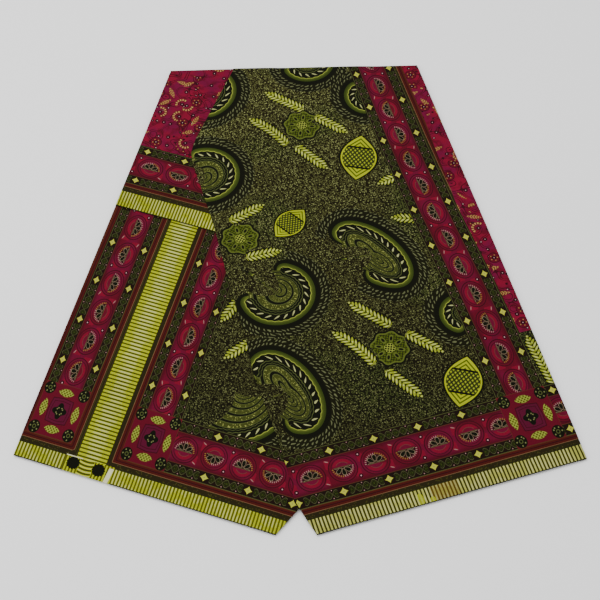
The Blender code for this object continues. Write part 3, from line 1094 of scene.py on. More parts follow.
PAISLEY_SUMS = (
    ("to_tail", "SUBTRACT", "length", "along"),
    ("end", "MINIMUM", "along", "to_tail"),
    ("c", "SUBTRACT", "deep", CRESCENT),
    ("c_out", "MULTIPLY", "c", -1.0),
    ("ripple_phase", "MULTIPLY", "along", 2 * math.pi / 12),
    ("ripple", "SINE", "ripple_phase"),
    ("ripple_c", "MULTIPLY_ADD", "ripple", 0.5, "c"),
    ("c_size", "ABSOLUTE", "ripple_c"),
    *rounded("half", "end", 1 / 12, 0.0, CRESCENT_HALF),
    ("crescent_off", "SUBTRACT", "c_size", "half"),
    ("crescent", "LESS_THAN", "crescent_off", 0.0),
    ("line_in", "COMPARE", "crescent_off", 0.3, 0.6),
    ("reached", "GREATER_THAN", "end", -0.8),
    ("line", "MULTIPLY", "line_in", "reached"),
    ("out_side", "LESS_THAN", "c", 0.0),
    ("outer_line", "MULTIPLY", "line", "out_side"),
    ("dark_in", "LESS_THAN", "crescent_off", 4.2),
    ("dark_line_in", "COMPARE", "crescent_off", 4.6, 0.45),
    ("inside", "GREATER_THAN", "c", 0.0),
    ("inside_reached", "MULTIPLY", "inside", "reached"),
    ("inner_dark", "MULTIPLY", "dark_in", "inside_reached"),
    ("inner_line", "MULTIPLY", "dark_line_in", "inside_reached"),
    *rounded("rim_out", "end", 1 / 18, 0.4, CRESCENT),
    *rounded("halo_out", "end", 1 / 26, 0.5, HALO),
    ("outer", "GREATER_THAN", "c_out", -2.0),
    ("rim_in", "LESS_THAN", "c_out", "rim_out"),
    ("rim_real", "GREATER_THAN", "rim_out_round", 0.05),
    ("rim_side", "MULTIPLY", "rim_in", "outer"),
    ("rim", "MULTIPLY", "rim_side", "rim_real"),
    ("rim_room", "SUBTRACT", "rim_out", "c_out"),
    *limited("glow_cap", "rim_room", 1 / 7, 0.0),
    ("glow", "MULTIPLY", "glow_cap", "glow_cap"),
    ("halo_in", "LESS_THAN", "c_out", "halo_out"),
    ("halo_real", "GREATER_THAN", "halo_out_round", 0.05),
    ("halo_side", "MULTIPLY", "halo_in", "outer"),
    ("halo", "MULTIPLY", "halo_side", "halo_real"),
    ("way", "MULTIPLY_ADD", "c", 1.5, "along"),
    ("to_drop", "PINGPONG", "way", 9.0),
    ("drop_c", "SUBTRACT", "c", 0.3),
    ("drop_fat", "MULTIPLY_ADD", "drop_c", 0.42, 2.3),
    *oval("drop_sum", "to_drop", "drop_fat", "drop_c", 3.5),
    ("drop_in", "LESS_THAN", "drop_sum", 1.0),
    ("drop_room", "GREATER_THAN", "end", 4.0),
    ("drop", "MULTIPLY", "drop_in", "drop_room"),
    ("fan_room", "MULTIPLY_ADD", "c", -0.8, "end"),
    ("fan_open", "GREATER_THAN", "fan_room", -20.0),
    ("fan_side", "GREATER_THAN", "c", 0.0),
    ("fan", "MULTIPLY", "fan_open", "fan_side"),
    ("spread", "MULTIPLY_ADD", "along", 0.045, 6.5),
    ("band_c", "SUBTRACT", "c", 11.6),
    ("band_raw", "DIVIDE", "band_c", "spread"),
    ("band", "PINGPONG", "band_raw", 0.5),
    ("band_gap", "LESS_THAN", "band", 0.14),
    ("band_line", "COMPARE", "band", 0.18, 0.04),
    ("fan_gap", "MULTIPLY", "band_gap", "fan"),
    ("fan_line", "MULTIPLY", "band_line", "fan"),
    ("fan_dot_in", "LESS_THAN", "cell", 0.3),
    ("fan_dot", "MULTIPLY", "fan_dot_in", "fan"),
    ("wobble_way", "SUBTRACT", "wobble", 0.5),
    ("dash_along", "MULTIPLY_ADD", "wobble_way", 9.0, "along"),
    ("row_c", "SUBTRACT", "c_out", HALO),
    ("dash_row", "PINGPONG", "row_c", 3.2),
    ("dash_row_off", "SUBTRACT", 3.2, "dash_row"),
    ("dash_lean", "MULTIPLY_ADD", "row_c", 0.9, "dash_along"),
    ("dash_way", "PINGPONG", "dash_lean", 3.1),
    ("dash_flat", "MULTIPLY", "dash_row_off", 0.6),
    ("dash_flat2", "MULTIPLY", "dash_flat", "dash_flat"),
    ("dash_sum", "MULTIPLY_ADD", "dash_way", "dash_way", "dash_flat2"),
    ("dash_in", "LESS_THAN", "dash_sum", 1.5),
    ("dash_zone_in", "GREATER_THAN", "row_c", 0.0),
    ("dash_zone_out", "LESS_THAN", "row_c", 16.4),
    ("dash_zone", "MULTIPLY", "dash_zone_in", "dash_zone_out"),
    ("dash_end", "GREATER_THAN", "end", -10.0),
    ("dashes", "MULTIPLY", "dash_zone", "dash_end"),
    ("dash", "MULTIPLY", "dash_in", "dashes"),
)
PAISLEY_INKS = (
    ("dashes", "ground"),
    ("dash", "dash"),
    ("fan", "fan_ground"),
    ("fan_dot", "fan_dot"),
    ("fan_gap", "black_green"),
    ("fan_line", "moss"),
    ("halo", "black_green"),
    ("rim", "rim"),
    ("inner_dark", "black_green"),
    ("inner_line", "moss"),
    ("crescent", "black_green"),
    ("line", "moss"),
    ("outer_line", "rim_line"),
    ("drop", "drop"),
)


def paisley_print():
    """The paisley's layers, from the ground up to the teardrops. Its rim is dark outside, bright inside."""
    made, tree = new_print("paisley_print")
    along, deep, place = millimetres(tree, "motif")
    cell = add(tree, "TexVoronoi", {"Vector": place, "Scale": 0.235})
    wobble = add(tree, "TexNoise", {"Vector": place, "Scale": 0.11, "Detail": 0.0})
    length = third_place(tree)
    sums = work(tree, PAISLEY_SUMS, along=along, deep=deep, cell=cell, wobble=wobble, length=length)
    rim = print_inks(tree, "green", sums, (("glow", "rim_bright"),))
    passes = [(mask, rim if ink == "rim" else ink) for mask, ink in PAISLEY_INKS]
    cotton(tree, print_inks(tree, ground_colour(tree), sums, passes))
    return made


PRINTS["paisley"] = paisley_print()
print("paisley", len(PAISLEY_SUMS), "sums")

# %% [markdown]
# ## Leaf sprigs
# Leaflets grow in pairs along a spine, lime, some with pale hearts, on a dark shade. A sprig's coordinates
# are how far a place is from its tip and from its spine. The leaflets lean towards the tip, so they lie
# where the distance from the tip and the distance from the spine add up to whole leaves.

# %% Leaf sprigs
SPRIG_SUMS = (
    *limited("fullness", "from_tip", 0.07, 0.25, 1.0, 0.1),
    ("side", "ABSOLUTE", "off_spine"),
    ("side_share", "DIVIDE", "side", "fullness"),
    ("lean", "MULTIPLY_ADD", "side", 0.85, "from_tip"),
    ("to_leaf", "PINGPONG", "lean", 3.4),
    ("leaf_fat", "MULTIPLY_ADD", "side_share", -0.11, 2.95),
    ("leaf_off", "SUBTRACT", "side_share", 4.3),
    *oval("leaf_sum", "to_leaf", "leaf_fat", "leaf_off", 4.9),
    ("leaf", "LESS_THAN", "leaf_sum", 1.0),
    ("leaf_core", "LESS_THAN", "leaf_sum", 0.38),
    ("past_tip", "GREATER_THAN", "from_tip", -2.5),
    ("blade", "MULTIPLY", "leaf", "past_tip"),
    ("core", "MULTIPLY", "leaf_core", "blade"),
    ("in_shade", "LESS_THAN", "side_share", 10.2),
    ("shade", "MULTIPLY", "in_shade", "past_tip"),
    ("chosen", "GREATER_THAN", "pale", 0.42),
    ("light", "MULTIPLY", "chosen", "core"),
)
PRINTS["sprig"] = motif_print(
    "sprig_print",
    ("from_tip", "off_spine"),
    SPRIG_SUMS,
    (("shade", "black_green"), ("blade", "leaf_lime"), ("light", "pale_leaf")),
    pale=("TexNoise", {"Scale": 0.08, "Detail": 1.0}),
)

print("sprig", len(SPRIG_SUMS), "sums")

# %% [markdown]
# ## Medallions and lozenges
# These are plain geometric fillers. A medallion is a scalloped disc of fine lattice, with eight petals
# with dark hearts and a latticed hub, and all of it follows from the distance and the angle from its
# middle. A lozenge is two arcs that meet in points, round a beaded lattice between two collars, with
# chevron ends, and it follows from the distances along and across.

# %% Medallions
MEDALLION_SUMS = (
    *circle("r2", "x", 0.0, "y", 0.0),
    ("r", "SQRT", "r2"),
    ("angle", "ARCTAN2", "y", "x"),
    ("eight", "MULTIPLY", "angle", 8.0),
    ("scallop", "COSINE", "eight"),
    ("outer_r", "MULTIPLY_ADD", "scallop", 1.6, 26.0),
    ("shade_r", "ADD", "outer_r", 3.0),
    ("shade", "LESS_THAN", "r", "shade_r"),
    ("disc", "LESS_THAN", "r", "outer_r"),
    ("inner_r", "SUBTRACT", "outer_r", 2.4),
    ("inner", "LESS_THAN", "r", "inner_r"),
    ("to_petal", "PINGPONG", "angle", math.radians(22.5)),
    ("petal_chord", "MULTIPLY", "to_petal", "r"),
    ("petal_off", "SUBTRACT", "r", 15.5),
    *oval("petal_sum", "petal_chord", 3.3, "petal_off", 6.2),
    ("petal", "LESS_THAN", "petal_sum", 1.0),
    ("petal_heart", "LESS_THAN", "petal_sum", 0.3),
    ("hub", "LESS_THAN", "r", 7.8),
    ("slant_up", "ADD", "x", "y"),
    ("slant_down", "SUBTRACT", "x", "y"),
    *lattice("slant_up", "slant_down", 2.6, 0.75),
    ("mesh", "MULTIPLY", "mesh_line", "inner"),
    ("hub_mesh", "MULTIPLY", "mesh_line", "hub"),
)
PRINTS["medallion"] = motif_print(
    "medallion_print",
    ("x", "y"),
    MEDALLION_SUMS,
    (
        ("shade", "black_green"),
        ("disc", "rim_bright"),
        ("inner", "rim_green"),
        ("mesh", "ground"),
        ("petal", "rim_bright"),
        ("petal_heart", "black_green"),
        ("hub", "black_green"),
        ("hub_mesh", "rim_line"),
    ),
)

print("medallion", len(MEDALLION_SUMS), "sums")

# %% Lozenges
LOZENGE_SUMS = (
    ("x_share", "DIVIDE", "x", 42.0),
    ("x_share2", "MULTIPLY", "x_share", "x_share"),
    ("half", "MULTIPLY_ADD", "x_share2", -27.0, 27.0),
    ("y_size", "ABSOLUTE", "y"),
    ("x_size", "ABSOLUTE", "x"),
    ("in_half", "LESS_THAN", "y_size", "half"),
    ("shade_half", "ADD", "half", 3.2),
    ("shade", "LESS_THAN", "y_size", "shade_half"),
    ("core_half", "SUBTRACT", "half", 2.4),
    ("core", "LESS_THAN", "y_size", "core_half"),
    ("slant_up", "MULTIPLY_ADD", "y", 1.3, "x"),
    ("slant_down", "MULTIPLY_ADD", "y", -1.3, "x"),
    *lattice("slant_up", "slant_down", 4.2, 1.0),
    ("mesh", "MULTIPLY", "mesh_line", "core"),
    ("collar", "COMPARE", "x_size", 19.0, 1.6),
    ("chevron_way", "ADD", "x_size", "y_size"),
    ("to_chevron", "PINGPONG", "chevron_way", 3.6),
    ("chevron_in", "LESS_THAN", "to_chevron", 1.5),
    ("end_part", "GREATER_THAN", "x_size", 20.6),
    ("end_core", "MULTIPLY", "end_part", "core"),
    ("chevron", "MULTIPLY", "chevron_in", "end_core"),
    ("collar_core", "MULTIPLY", "collar", "core"),
    *circle("bead_r2", "mesh_up", 4.2, "mesh_down", 4.2),
    ("bead_in", "LESS_THAN", "bead_r2", 3.4),
    ("bead", "MULTIPLY", "bead_in", "core"),
)
PRINTS["lozenge"] = motif_print(
    "lattice_lozenge_print",
    ("x", "y"),
    LOZENGE_SUMS,
    (
        ("shade", "black_green"),
        ("in_half", "lime"),
        ("core", "rim_bright"),
        ("mesh", "ground"),
        ("bead", "lime"),
        ("end_core", "lime"),
        ("chevron", "rim_green"),
        ("collar_core", "black_green"),
    ),
)
print("lozenge", len(LOZENGE_SUMS), "sums")

# %% [markdown]
# ## The crimson ground
# The turned end and the slivers beside the borders come from another part of the same cloth: crimson
# clouded with magenta, dark veins, and a scatter of small flowers, leaves, dashed curls and dots. A cell
# pattern gives each small motif a middle, a number and so a turn of its own.

# %% Crimson ground
SCATTER_SPACING = 25.0
CURL_R = 9.6
SCATTER_SUMS = (
    ("leaf_kind", "LESS_THAN", "kind", 0.2),
    ("flower_kind", "GREATER_THAN", "kind", 0.78),
    ("leaf_share", "DIVIDE", "a", 12.0),
    ("leaf_share2", "MULTIPLY", "leaf_share", "leaf_share"),
    ("leaf_half", "MULTIPLY_ADD", "leaf_share2", -3.8, 3.8),
    ("b_size", "ABSOLUTE", "b"),
    ("leaf_in", "LESS_THAN", "b_size", "leaf_half"),
    ("cut_lean", "MULTIPLY_ADD", "b_size", 0.8, "a"),
    ("cut", "PINGPONG", "cut_lean", 2.1),
    ("cut_in", "GREATER_THAN", "cut", 0.9),
    ("leaf_cut", "MULTIPLY", "leaf_in", "cut_in"),
    ("leaf", "MULTIPLY", "leaf_cut", "leaf_kind"),
    ("angle", "ARCTAN2", "b", "a"),
    ("curl_low", "GREATER_THAN", "kind", 0.2),
    ("curl_high", "LESS_THAN", "kind", 0.33),
    ("curl_kind", "MULTIPLY", "curl_low", "curl_high"),
    ("curl_band", "COMPARE", "r", CURL_R, 1.9),
    ("angle_size", "ABSOLUTE", "angle"),
    ("curl_span", "LESS_THAN", "angle_size", 1.6),
    ("curl_part", "MULTIPLY", "curl_band", "curl_span"),
    ("to_dash", "PINGPONG", "angle", math.radians(13)),
    ("dash_in", "LESS_THAN", "to_dash", math.radians(7.4)),
    ("curl_cut", "MULTIPLY", "curl_part", "dash_in"),
    ("curl", "MULTIPLY", "curl_cut", "curl_kind"),
    ("curl_shade_in", "COMPARE", "r", CURL_R, 3.2),
    ("curl_shade_part", "MULTIPLY", "curl_shade_in", "curl_span"),
    ("curl_shade", "MULTIPLY", "curl_shade_part", "curl_kind"),
    ("to_petal", "PINGPONG", "angle", math.radians(36)),
    ("petal_chord", "MULTIPLY", "to_petal", "r"),
    ("petal_off", "SUBTRACT", "r", 5.4),
    ("petal_off2", "MULTIPLY", "petal_off", "petal_off"),
    ("petal_sum", "MULTIPLY_ADD", "petal_chord", "petal_chord", "petal_off2"),
    ("petal_in", "LESS_THAN", "petal_sum", 1.0),
    ("petal", "MULTIPLY", "petal_in", "flower_kind"),
    ("flower_in", "LESS_THAN", "r", 8.6),
    ("flower", "MULTIPLY", "flower_in", "flower_kind"),
    ("not_leaf", "SUBTRACT", 1.0, "leaf_kind"),
    ("eye_in", "LESS_THAN", "r", 0.9),
    ("eye", "MULTIPLY", "eye_in", "not_leaf"),
    ("spot_in", "LESS_THAN", "r", 3.4),
    ("spot", "MULTIPLY", "spot_in", "not_leaf"),
    ("ring_in", "COMPARE", "r", 9.4, 0.6),
    ("ring", "MULTIPLY", "ring_in", "flower_kind"),
    ("curve", "COMPARE", "swirl", 0.5, 0.013),
    ("curve_out", "COMPARE", "swirl", 0.58, 0.011),
    ("curves", "MAXIMUM", "curve", "curve_out"),
    ("dot_in", "LESS_THAN", "dot", 0.075),
    ("dot_dark", "LESS_THAN", "dot", 0.17),
    *limited("cloud_share", "cloud", 5.0, -1.95),
    *limited("gloom_share", "gloom", 6.0, -3.0, 0.8),
)
CRIMSON_INKS = (
    ("cloud_share", "magenta"),
    ("gloom_share", "crimson"),
    ("curves", "dark_crimson"),
    ("dot_dark", "deep_crimson"),
    ("dot_in", "blush"),
    ("flower", "crimson"),
    ("ring", "deep_crimson"),
    ("spot", "deep_crimson"),
    ("petal", "leaf_gold"),
    ("curl_shade", "crimson"),
    ("curl", "curl_gold"),
    ("eye", "blush"),
    ("leaf", "leaf_gold"),
)
CRIMSON_TEXTURES = {
    "swirl": ("TexNoise", {"Scale": 0.045, "Detail": 0.0}),
    "gloom": ("TexNoise", {"Scale": 0.07, "Detail": 1.0}),
    "dot": ("TexVoronoi", {"Scale": 1 / 14}),
    "cloud": ("TexNoise", {"Scale": 0.03, "Detail": 2.0}),
}


def crimson_ground():
    """Scattered flowers, leaves and dashed curls over veins, dots and clouds of magenta."""
    made, tree = new_print("crimson_ground_print")
    place = millimetres(tree, "print")[2]
    known = scattered(tree, place, SCATTER_SPACING, 0.8)
    known.update(textures_at(tree, place, CRIMSON_TEXTURES))
    sums = work(tree, TURN_SUMS + SCATTER_SUMS, **known)
    cotton(tree, print_inks(tree, "bright_crimson", sums, CRIMSON_INKS))
    return made


PRINTS["crimson"] = crimson_ground()
LOOKS = list(PRINTS)
print(len(LOOKS), "prints:", ", ".join(LOOKS))

# %% [markdown]
# ## Where the field's motifs lie
# Each row places one motif on its leg, in millimetres across and up. A paisley has a middle, two half
# axes, a turn, and the angles between which its rim runs. A sprig has its tip and its base, and how far
# its spine bows. Where two reach the same place, the one listed first keeps it. The cloth under a motif is
# one sheet, so a motif is only a set of faces that use its print, never a patch laid on.

# %% Tables of motifs
# Paisleys: across, up, half length, half width, turn, and the angles at the rim's head and tail.
RIGHT_PAISLEYS = (
    (226, 432, 79, 45, -62, -68, 208),
    (61, 404, 60, 58, 0, 68, -185),
    (24, 233, 49, 80, 16, -132, 130),
    (14, 660, 57, 56, 0, -115, 100),
    (52, 832, 63, 58, 20, -110, 70),
    (247, 846, 46, 44, 0, -175, -5),
    (316, 744, 34, 38, 0, 95, 265),
    (322, 286, 34, 36, 0, 60, 250),
)
LEFT_PAISLEYS = (
    (272, 198, 88, 88, 0, 14, -96),
)
# Sprigs: tip across, tip up, base across, base up, bow.
RIGHT_SPRIGS = (
    (159, 800, 207, 748, 0),
    (117, 752, 160, 684, 5),
    (263, 678, 225, 724, 0),
    (209, 616, 175, 672, 0),
    (88, 574, 30, 558, 0),
    (281, 562, 312, 567, 0),
    (280, 491, 315, 477, 0),
    (89, 480, 36, 482, 0),
    (163, 355, 210, 299, 0),
    (123, 310, 165, 242, 5),
    (271, 231, 231, 276, 0),
    (215, 167, 180, 222, 0),
    (404, 218, 412, 132, 0),
)
LEFT_SPRIGS = (
    (210, 310, 221, 351, 0),
    (237, 250, 263, 286, 0),
)
# Medallions and lozenges: across, up, turn, scale.
RIGHT_MEDALLIONS = ((196, 714, 20, 1.1), (197, 260, 20, 1.1), (34, 520, 0, 1.1))
RIGHT_LOZENGES = ((266, 622, 66, 1.1), (119, 527, 32, 0.82), (283, 172, 62, 1.05))
print(len(RIGHT_PAISLEYS + LEFT_PAISLEYS), "paisleys,", len(RIGHT_SPRIGS + LEFT_SPRIGS), "sprigs")

# %% [markdown]
# ### A motif's own coordinates
# Each kind of motif has a rule that turns places on the leg into places in the motif, and a test of how
# far its faces reach. Paisleys follow an ellipse, sprigs a spine, and fillers only turn and scale.

# %% Coordinates of a motif
TINY = 1e-9  # keeps a middle from dividing by nothing
ARC_STEP = 0.5  # degrees between the rows of a table of arc lengths


def ellipse_coordinates(across, up, row):
    """A paisley's own coordinates: distance along an ellipse, depth inside it, and its rim's length.

    Depth is one less the scaled radius, over the slope of that radius, which is true distance close to
    the rim. Distance along comes from a table of the arc's length against its angle.
    """
    x0, y0, half_a, half_b, turn, start, end = row
    from_end = start > end
    start, end = min(start, end), max(start, end)
    c, s = math.cos(math.radians(turn)), math.sin(math.radians(turn))
    dx, dy = across - x0, up - y0
    x, y = dx * c + dy * s, dy * c - dx * s
    ratio = np.sqrt((x / half_a) ** 2 + (y / half_b) ** 2) + TINY
    slope = np.sqrt((x / half_a**2) ** 2 + (y / half_b**2) ** 2) + TINY
    deep = (1 - ratio) * ratio / slope
    angle = np.degrees(np.arctan2(y / half_b, x / half_a))
    middle = (start + end) / 2
    angle = (angle - middle + 180) % 360 - 180
    steps = np.linspace(-180, 180, round(360 / ARC_STEP) + 1)
    turned = np.radians(steps + middle)
    speed = np.hypot(half_a * np.sin(turned), half_b * np.cos(turned)) * math.radians(ARC_STEP)
    length = np.cumsum(speed)
    length = length - np.interp(0, steps, length)
    along = np.interp(angle, steps, length)
    low, high = np.interp((start - middle, end - middle), steps, length)
    return high - along if from_end else along - low, deep, np.full_like(deep, high - low)


def spine_coordinates(across, up, row):
    """A sprig's own coordinates: distance from its tip, and from its bowed spine, growing past its base."""
    x0, y0, x1, y1, bow = row
    length = math.hypot(x1 - x0, y1 - y0)
    c, s = (x1 - x0) / length, (y1 - y0) / length
    dx, dy = across - x0, up - y0
    from_tip = dx * c + dy * s
    share = np.clip(from_tip / length, 0, 1)
    side = dy * c - dx * s - 4 * bow * share * (1 - share)
    return from_tip, side + np.sign(side + 1e-6) * 3 * np.maximum(from_tip - length, 0), side


def turned_coordinates(across, up, row):
    """Plain axes at a motif's middle, turned by its angle and divided by its scale."""
    x0, y0, turn, scale = row
    c, s = math.cos(math.radians(turn)) / scale, math.sin(math.radians(turn)) / scale
    dx, dy = across - x0, up - y0
    return dx * c + dy * s, dy * c - dx * s, dx * 0


# How far each motif's faces reach in its own coordinates, in millimetres.
SPRIG_TIP, SPRIG_BASE, SPRIG_HALF = 7, 3, 14
PAISLEY_OUTSIDE, PAISLEY_END = 24, 18
MEDALLION_RADIUS = 33
LOZENGE_HALVES = 48, 34


def sprig_reach(first, second, third, row):
    """From just before the tip to just past the base, as wide as the leaflets."""
    length = math.hypot(row[2] - row[0], row[3] - row[1])
    return (first > -SPRIG_TIP) & (first < length + SPRIG_BASE) & (np.abs(second) < SPRIG_HALF)


def paisley_reach(first, second, third, row):
    """All that is inside, the dashes outside the rim, and a little past both of its ends."""
    return (second > -PAISLEY_OUTSIDE) & (first > -PAISLEY_END) & (first < third + PAISLEY_END)


def medallion_reach(first, second, third, row):
    """A disc."""
    return np.hypot(first, second) < MEDALLION_RADIUS


def lozenge_reach(first, second, third, row):
    """A rectangle."""
    return (np.abs(first) < LOZENGE_HALVES[0]) & (np.abs(second) < LOZENGE_HALVES[1])


RULES = {
    "sprig": (spine_coordinates, sprig_reach),
    "medallion": (turned_coordinates, medallion_reach),
    "lozenge": (turned_coordinates, lozenge_reach),
    "paisley": (ellipse_coordinates, paisley_reach),
}


def place_motifs(across, up, look, motif, tables):
    """Gives the green ground's faces to the motifs that reach them. across and up are at face corners."""
    free = look == LOOKS.index("green")
    for kind, rows in tables:
        coordinates, reach = RULES[kind]
        for row in rows:
            places = np.stack(coordinates(across, up, row), axis=-1)
            near = reach(*places.mean(axis=1).T, row) & free
            look[near] = LOOKS.index(kind)
            motif[near] = places[near]
            free &= ~near


print("rules for", ", ".join(RULES))

# %% [markdown]
# ## Zones of each sheet
# A face takes its look from its middle's place on the print. Each rule below gives a zone's look and its
# motif coordinates: along and across for bands, distances from the middle for a square. The meshes have
# a row or column on every zone's edge, so the zones meet in clean lines.

# %% Zone rules
CORNER_HALF = BORDER_DESIGN / 2
LEFT_COMB_PITCH, END_COMB_PITCH = 5.13, 5.1
FOOT_MIDDLE = 108.2
# How far into the stripes their first line lies: beside the band, the right border and the left edge.
BAND_STRIPE, SIDE_STRIPE, EDGE_STRIPE = 1.5, 3.0, 8.3
EVERYWHERE = slice(None)
# Where a border's first star and first flower lie along it, each with its real pitch there.
BORDER_STARTS = {
    "left": ((170.5, 74.8), (157, 55.2)),
    "second": ((170, 76.4), (156, 55.8)),
    "left_hem": ((279, 67), (238.3, 44.9)),
    "right": ((196, 74.8), (147, 55.8)),
    "right_hem": ((50, 68.3), (11.5, 48.7)),
    "right_hem_end": ((399.5, 68.3), (401.0, 48.7)),
    "turned_end": ((8.5, 65.5), (24.2, 48.7)),
}


def zone(look, motif, where, kind, first, second, third=None):
    """Gives a zone's faces their look and their motif coordinates."""
    look[where] = LOOKS.index(kind)
    motif[where, :, 0], motif[where, :, 1] = first[where], second[where]
    motif[where, :, 2] = 0 if third is None else third[where]


def border_zone(look, motif, where, along, across, sides, name):
    """A border's zone. sides are its edges across, and name is its row of starts and pitches."""
    stars, flowers = BORDER_STARTS[name]
    first = (along - stars[0]) * STAR_PITCH / stars[1]
    third = (along - flowers[0]) * FLOWER_PITCH / flowers[1] + FLOWER_PITCH / 2
    second = (across - sides[0]) * BORDER_DESIGN / (sides[1] - sides[0])
    zone(look, motif, where, "border", first, second, third)


def square_zone(look, motif, where, p, q, sides):
    """A corner square's zone, with its coordinates from its middle, as wide as its upright border."""
    middle, width = sum(sides) / 2, abs(sides[1] - sides[0])
    zone(look, motif, where, "square", (p - middle) * BORDER_DESIGN / width, q - STRIPES - CORNER_HALF)


def left_leg_zones(p, q, look, motif):
    """Two upright borders with the cutting band between them, a third along the hem, and the comb."""
    mp, mq = p.mean(axis=1), q.mean(axis=1)
    low = mq < BORDER
    zone(look, motif, EVERYWHERE, "green", p, q)
    zone(look, motif, mp < LEFT_BORDER[0], "stripes", q, EDGE_STRIPE + LEFT_BORDER[0] - p)
    side = (mp >= LEFT_BORDER[0]) & (mp < LEFT_BORDER[1])
    border_zone(look, motif, side, q, p, LEFT_BORDER[::-1], "left")
    second = (mp >= SECOND_BORDER[0]) & (mp < SECOND_BORDER[1])
    border_zone(look, motif, second, q, p, SECOND_BORDER, "second")
    bottom = low & (mp >= SECOND_BORDER[1])
    border_zone(look, motif, bottom, p, q, (STRIPES, BORDER), "left_hem")
    square_zone(look, motif, low & side, p, q, LEFT_BORDER)
    square_zone(look, motif, low & second, p, q, SECOND_BORDER)
    foot_stripes = mq < STRIPES
    before = (mp < CUTTING_BAND[0]) & ((mp >= LEFT_BORDER[1]) | foot_stripes)
    zone(look, motif, before, "stripes", p, np.minimum(q - COMB, CUTTING_BAND[0] + BAND_STRIPE - p))
    after = (mp >= CUTTING_BAND[1]) & ((mp < SECOND_BORDER[0]) | foot_stripes)
    zone(look, motif, after, "stripes", p, np.minimum(q - COMB, p - CUTTING_BAND[1] + BAND_STRIPE))
    band = (mp >= CUTTING_BAND[0]) & (mp < CUTTING_BAND[1])
    zone(look, motif, band, "band", q, p - CUTTING_BAND[0])
    comb = mq < COMB
    zone(look, motif, comb, "fine_comb", p * COMB_PITCH / LEFT_COMB_PITCH, q)
    foot = comb & (mp >= LEFT_BORDER[1]) & (mp < SECOND_BORDER[0])
    zone(look, motif, foot, "foot", p - FOOT_MIDDLE, q)


def stripes_end(up):
    """Where the stripes beside the right border end across, for a place up."""
    return np.interp(up, RIGHT_STRIPES[:, 0], RIGHT_STRIPES[:, 1])


def main_panel_zones(p, q, look, motif):
    """The green field, a border on the right and along the hem, stripes, crimson beyond, and the comb."""
    mp, mq = p.mean(axis=1), q.mean(axis=1)
    low = mq < BORDER
    past_stripes = mp >= stripes_end(mq)
    above_sliver = mq > GREEN_SLIVER_TOP
    zone(look, motif, EVERYWHERE, "green", p, q)
    zone(look, motif, past_stripes & above_sliver, "crimson", p, q)
    beside = (mp >= RIGHT_BORDER[1]) & ~past_stripes & above_sliver
    zone(look, motif, beside, "stripes", q, p - RIGHT_BORDER[1] + SIDE_STRIPE)
    side = (mp >= RIGHT_BORDER[0]) & (mp < RIGHT_BORDER[1])
    border_zone(look, motif, side, q, p, RIGHT_BORDER[::-1], "right")
    border_zone(look, motif, low, p, q, (STRIPES, BORDER), "right_hem")
    past = low & (mp >= RIGHT_BORDER[1])
    border_zone(look, motif, past, p, q, (STRIPES, BORDER), "right_hem_end")
    square_zone(look, motif, low & side, p, q, RIGHT_BORDER)
    zone(look, motif, mq < STRIPES, "stripes", p, q - COMB)
    zone(look, motif, mq < COMB, "comb", p, q)


def turned_end_zones(p, q, look, motif):
    """Crimson ground, then the border, the stripes and the comb along its own selvedge."""
    mq = q.mean(axis=1)
    zone(look, motif, EVERYWHERE, "crimson", p, q)
    border_zone(look, motif, mq < END_BORDER, p, q, (END_STRIPES, END_BORDER), "turned_end")
    zone(look, motif, mq < END_STRIPES, "stripes", p, q - END_COMB)
    zone(look, motif, mq < END_COMB, "fine_comb", p * COMB_PITCH / END_COMB_PITCH, q * COMB / END_COMB)


print(len(BORDER_STARTS), "stretches of border")

# %% [markdown]
# ## From a grid to a piece
# The grid becomes quads, with both places stored at the corners of each face, because a corner on a zone's
# edge belongs to two ornaments. Each stretch replaces its solid, and its print map keeps its places on the
# flat cloth.

# %% Build a sheet
def cloth_piece(name, points, quads, print_places, motif_places, looks, slot):
    """A mesh with its two UV maps and its materials. It rides on the root and takes its solid's place."""
    mesh = bpy.data.meshes.new(name)
    mesh.from_pydata((points.reshape(-1, 3) * MM).tolist(), [], quads.tolist())
    mesh.uv_layers.new(name="print").uv.foreach_set("vector", (print_places * MM).reshape(-1))
    mesh.uv_layers.new(name="motif").uv.foreach_set("vector", (motif_places * MM).reshape(-1))
    for look in looks:
        mesh.materials.append(look)
    mesh.shade_smooth()
    mesh.update()
    piece = bpy.data.objects.new(name, mesh)
    bpy.context.scene.collection.objects.link(piece)
    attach(piece, "root")
    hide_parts(slot)
    return piece


def build_sheet(name, grid, zones, tables, slot):
    """A cloth piece from its grid: quads, a look and motif coordinates for each face, and its places on the
    flat cloth.
    """
    points, across, p, q = grid
    rows, columns = p.shape
    start = np.arange(rows - 1)[:, None] * columns + np.arange(columns - 1)
    quads = np.stack([start, start + 1, start + columns + 1, start + columns], axis=-1).reshape(-1, 4)
    across_at, p_at, q_at = (field.reshape(-1)[quads] for field in (across, p, q))
    look = np.zeros(len(quads), dtype=np.int32)
    motif = np.zeros((len(quads), 4, 3))
    zones(p_at, q_at, look, motif)
    place_motifs(across_at, q_at, look, motif, tables)
    flat = np.stack([p_at, q_at], axis=-1)
    piece = cloth_piece(name, points, quads, flat, motif[..., :2], PRINTS.values(), slot)
    third = piece.data.attributes.new("motif_third", "FLOAT", "CORNER")
    third.data.foreach_set("value", (motif[..., 2] * MM).reshape(-1))
    piece.data.polygons.foreach_set("material_index", look)
    return piece


# %% [markdown]
# ## The left leg
# It lies on the hidden layers. Its left side follows the outline, and its right side is hidden, so the
# sheet stops a hand's breadth under the main panel. The upper part goes on under the turned end.

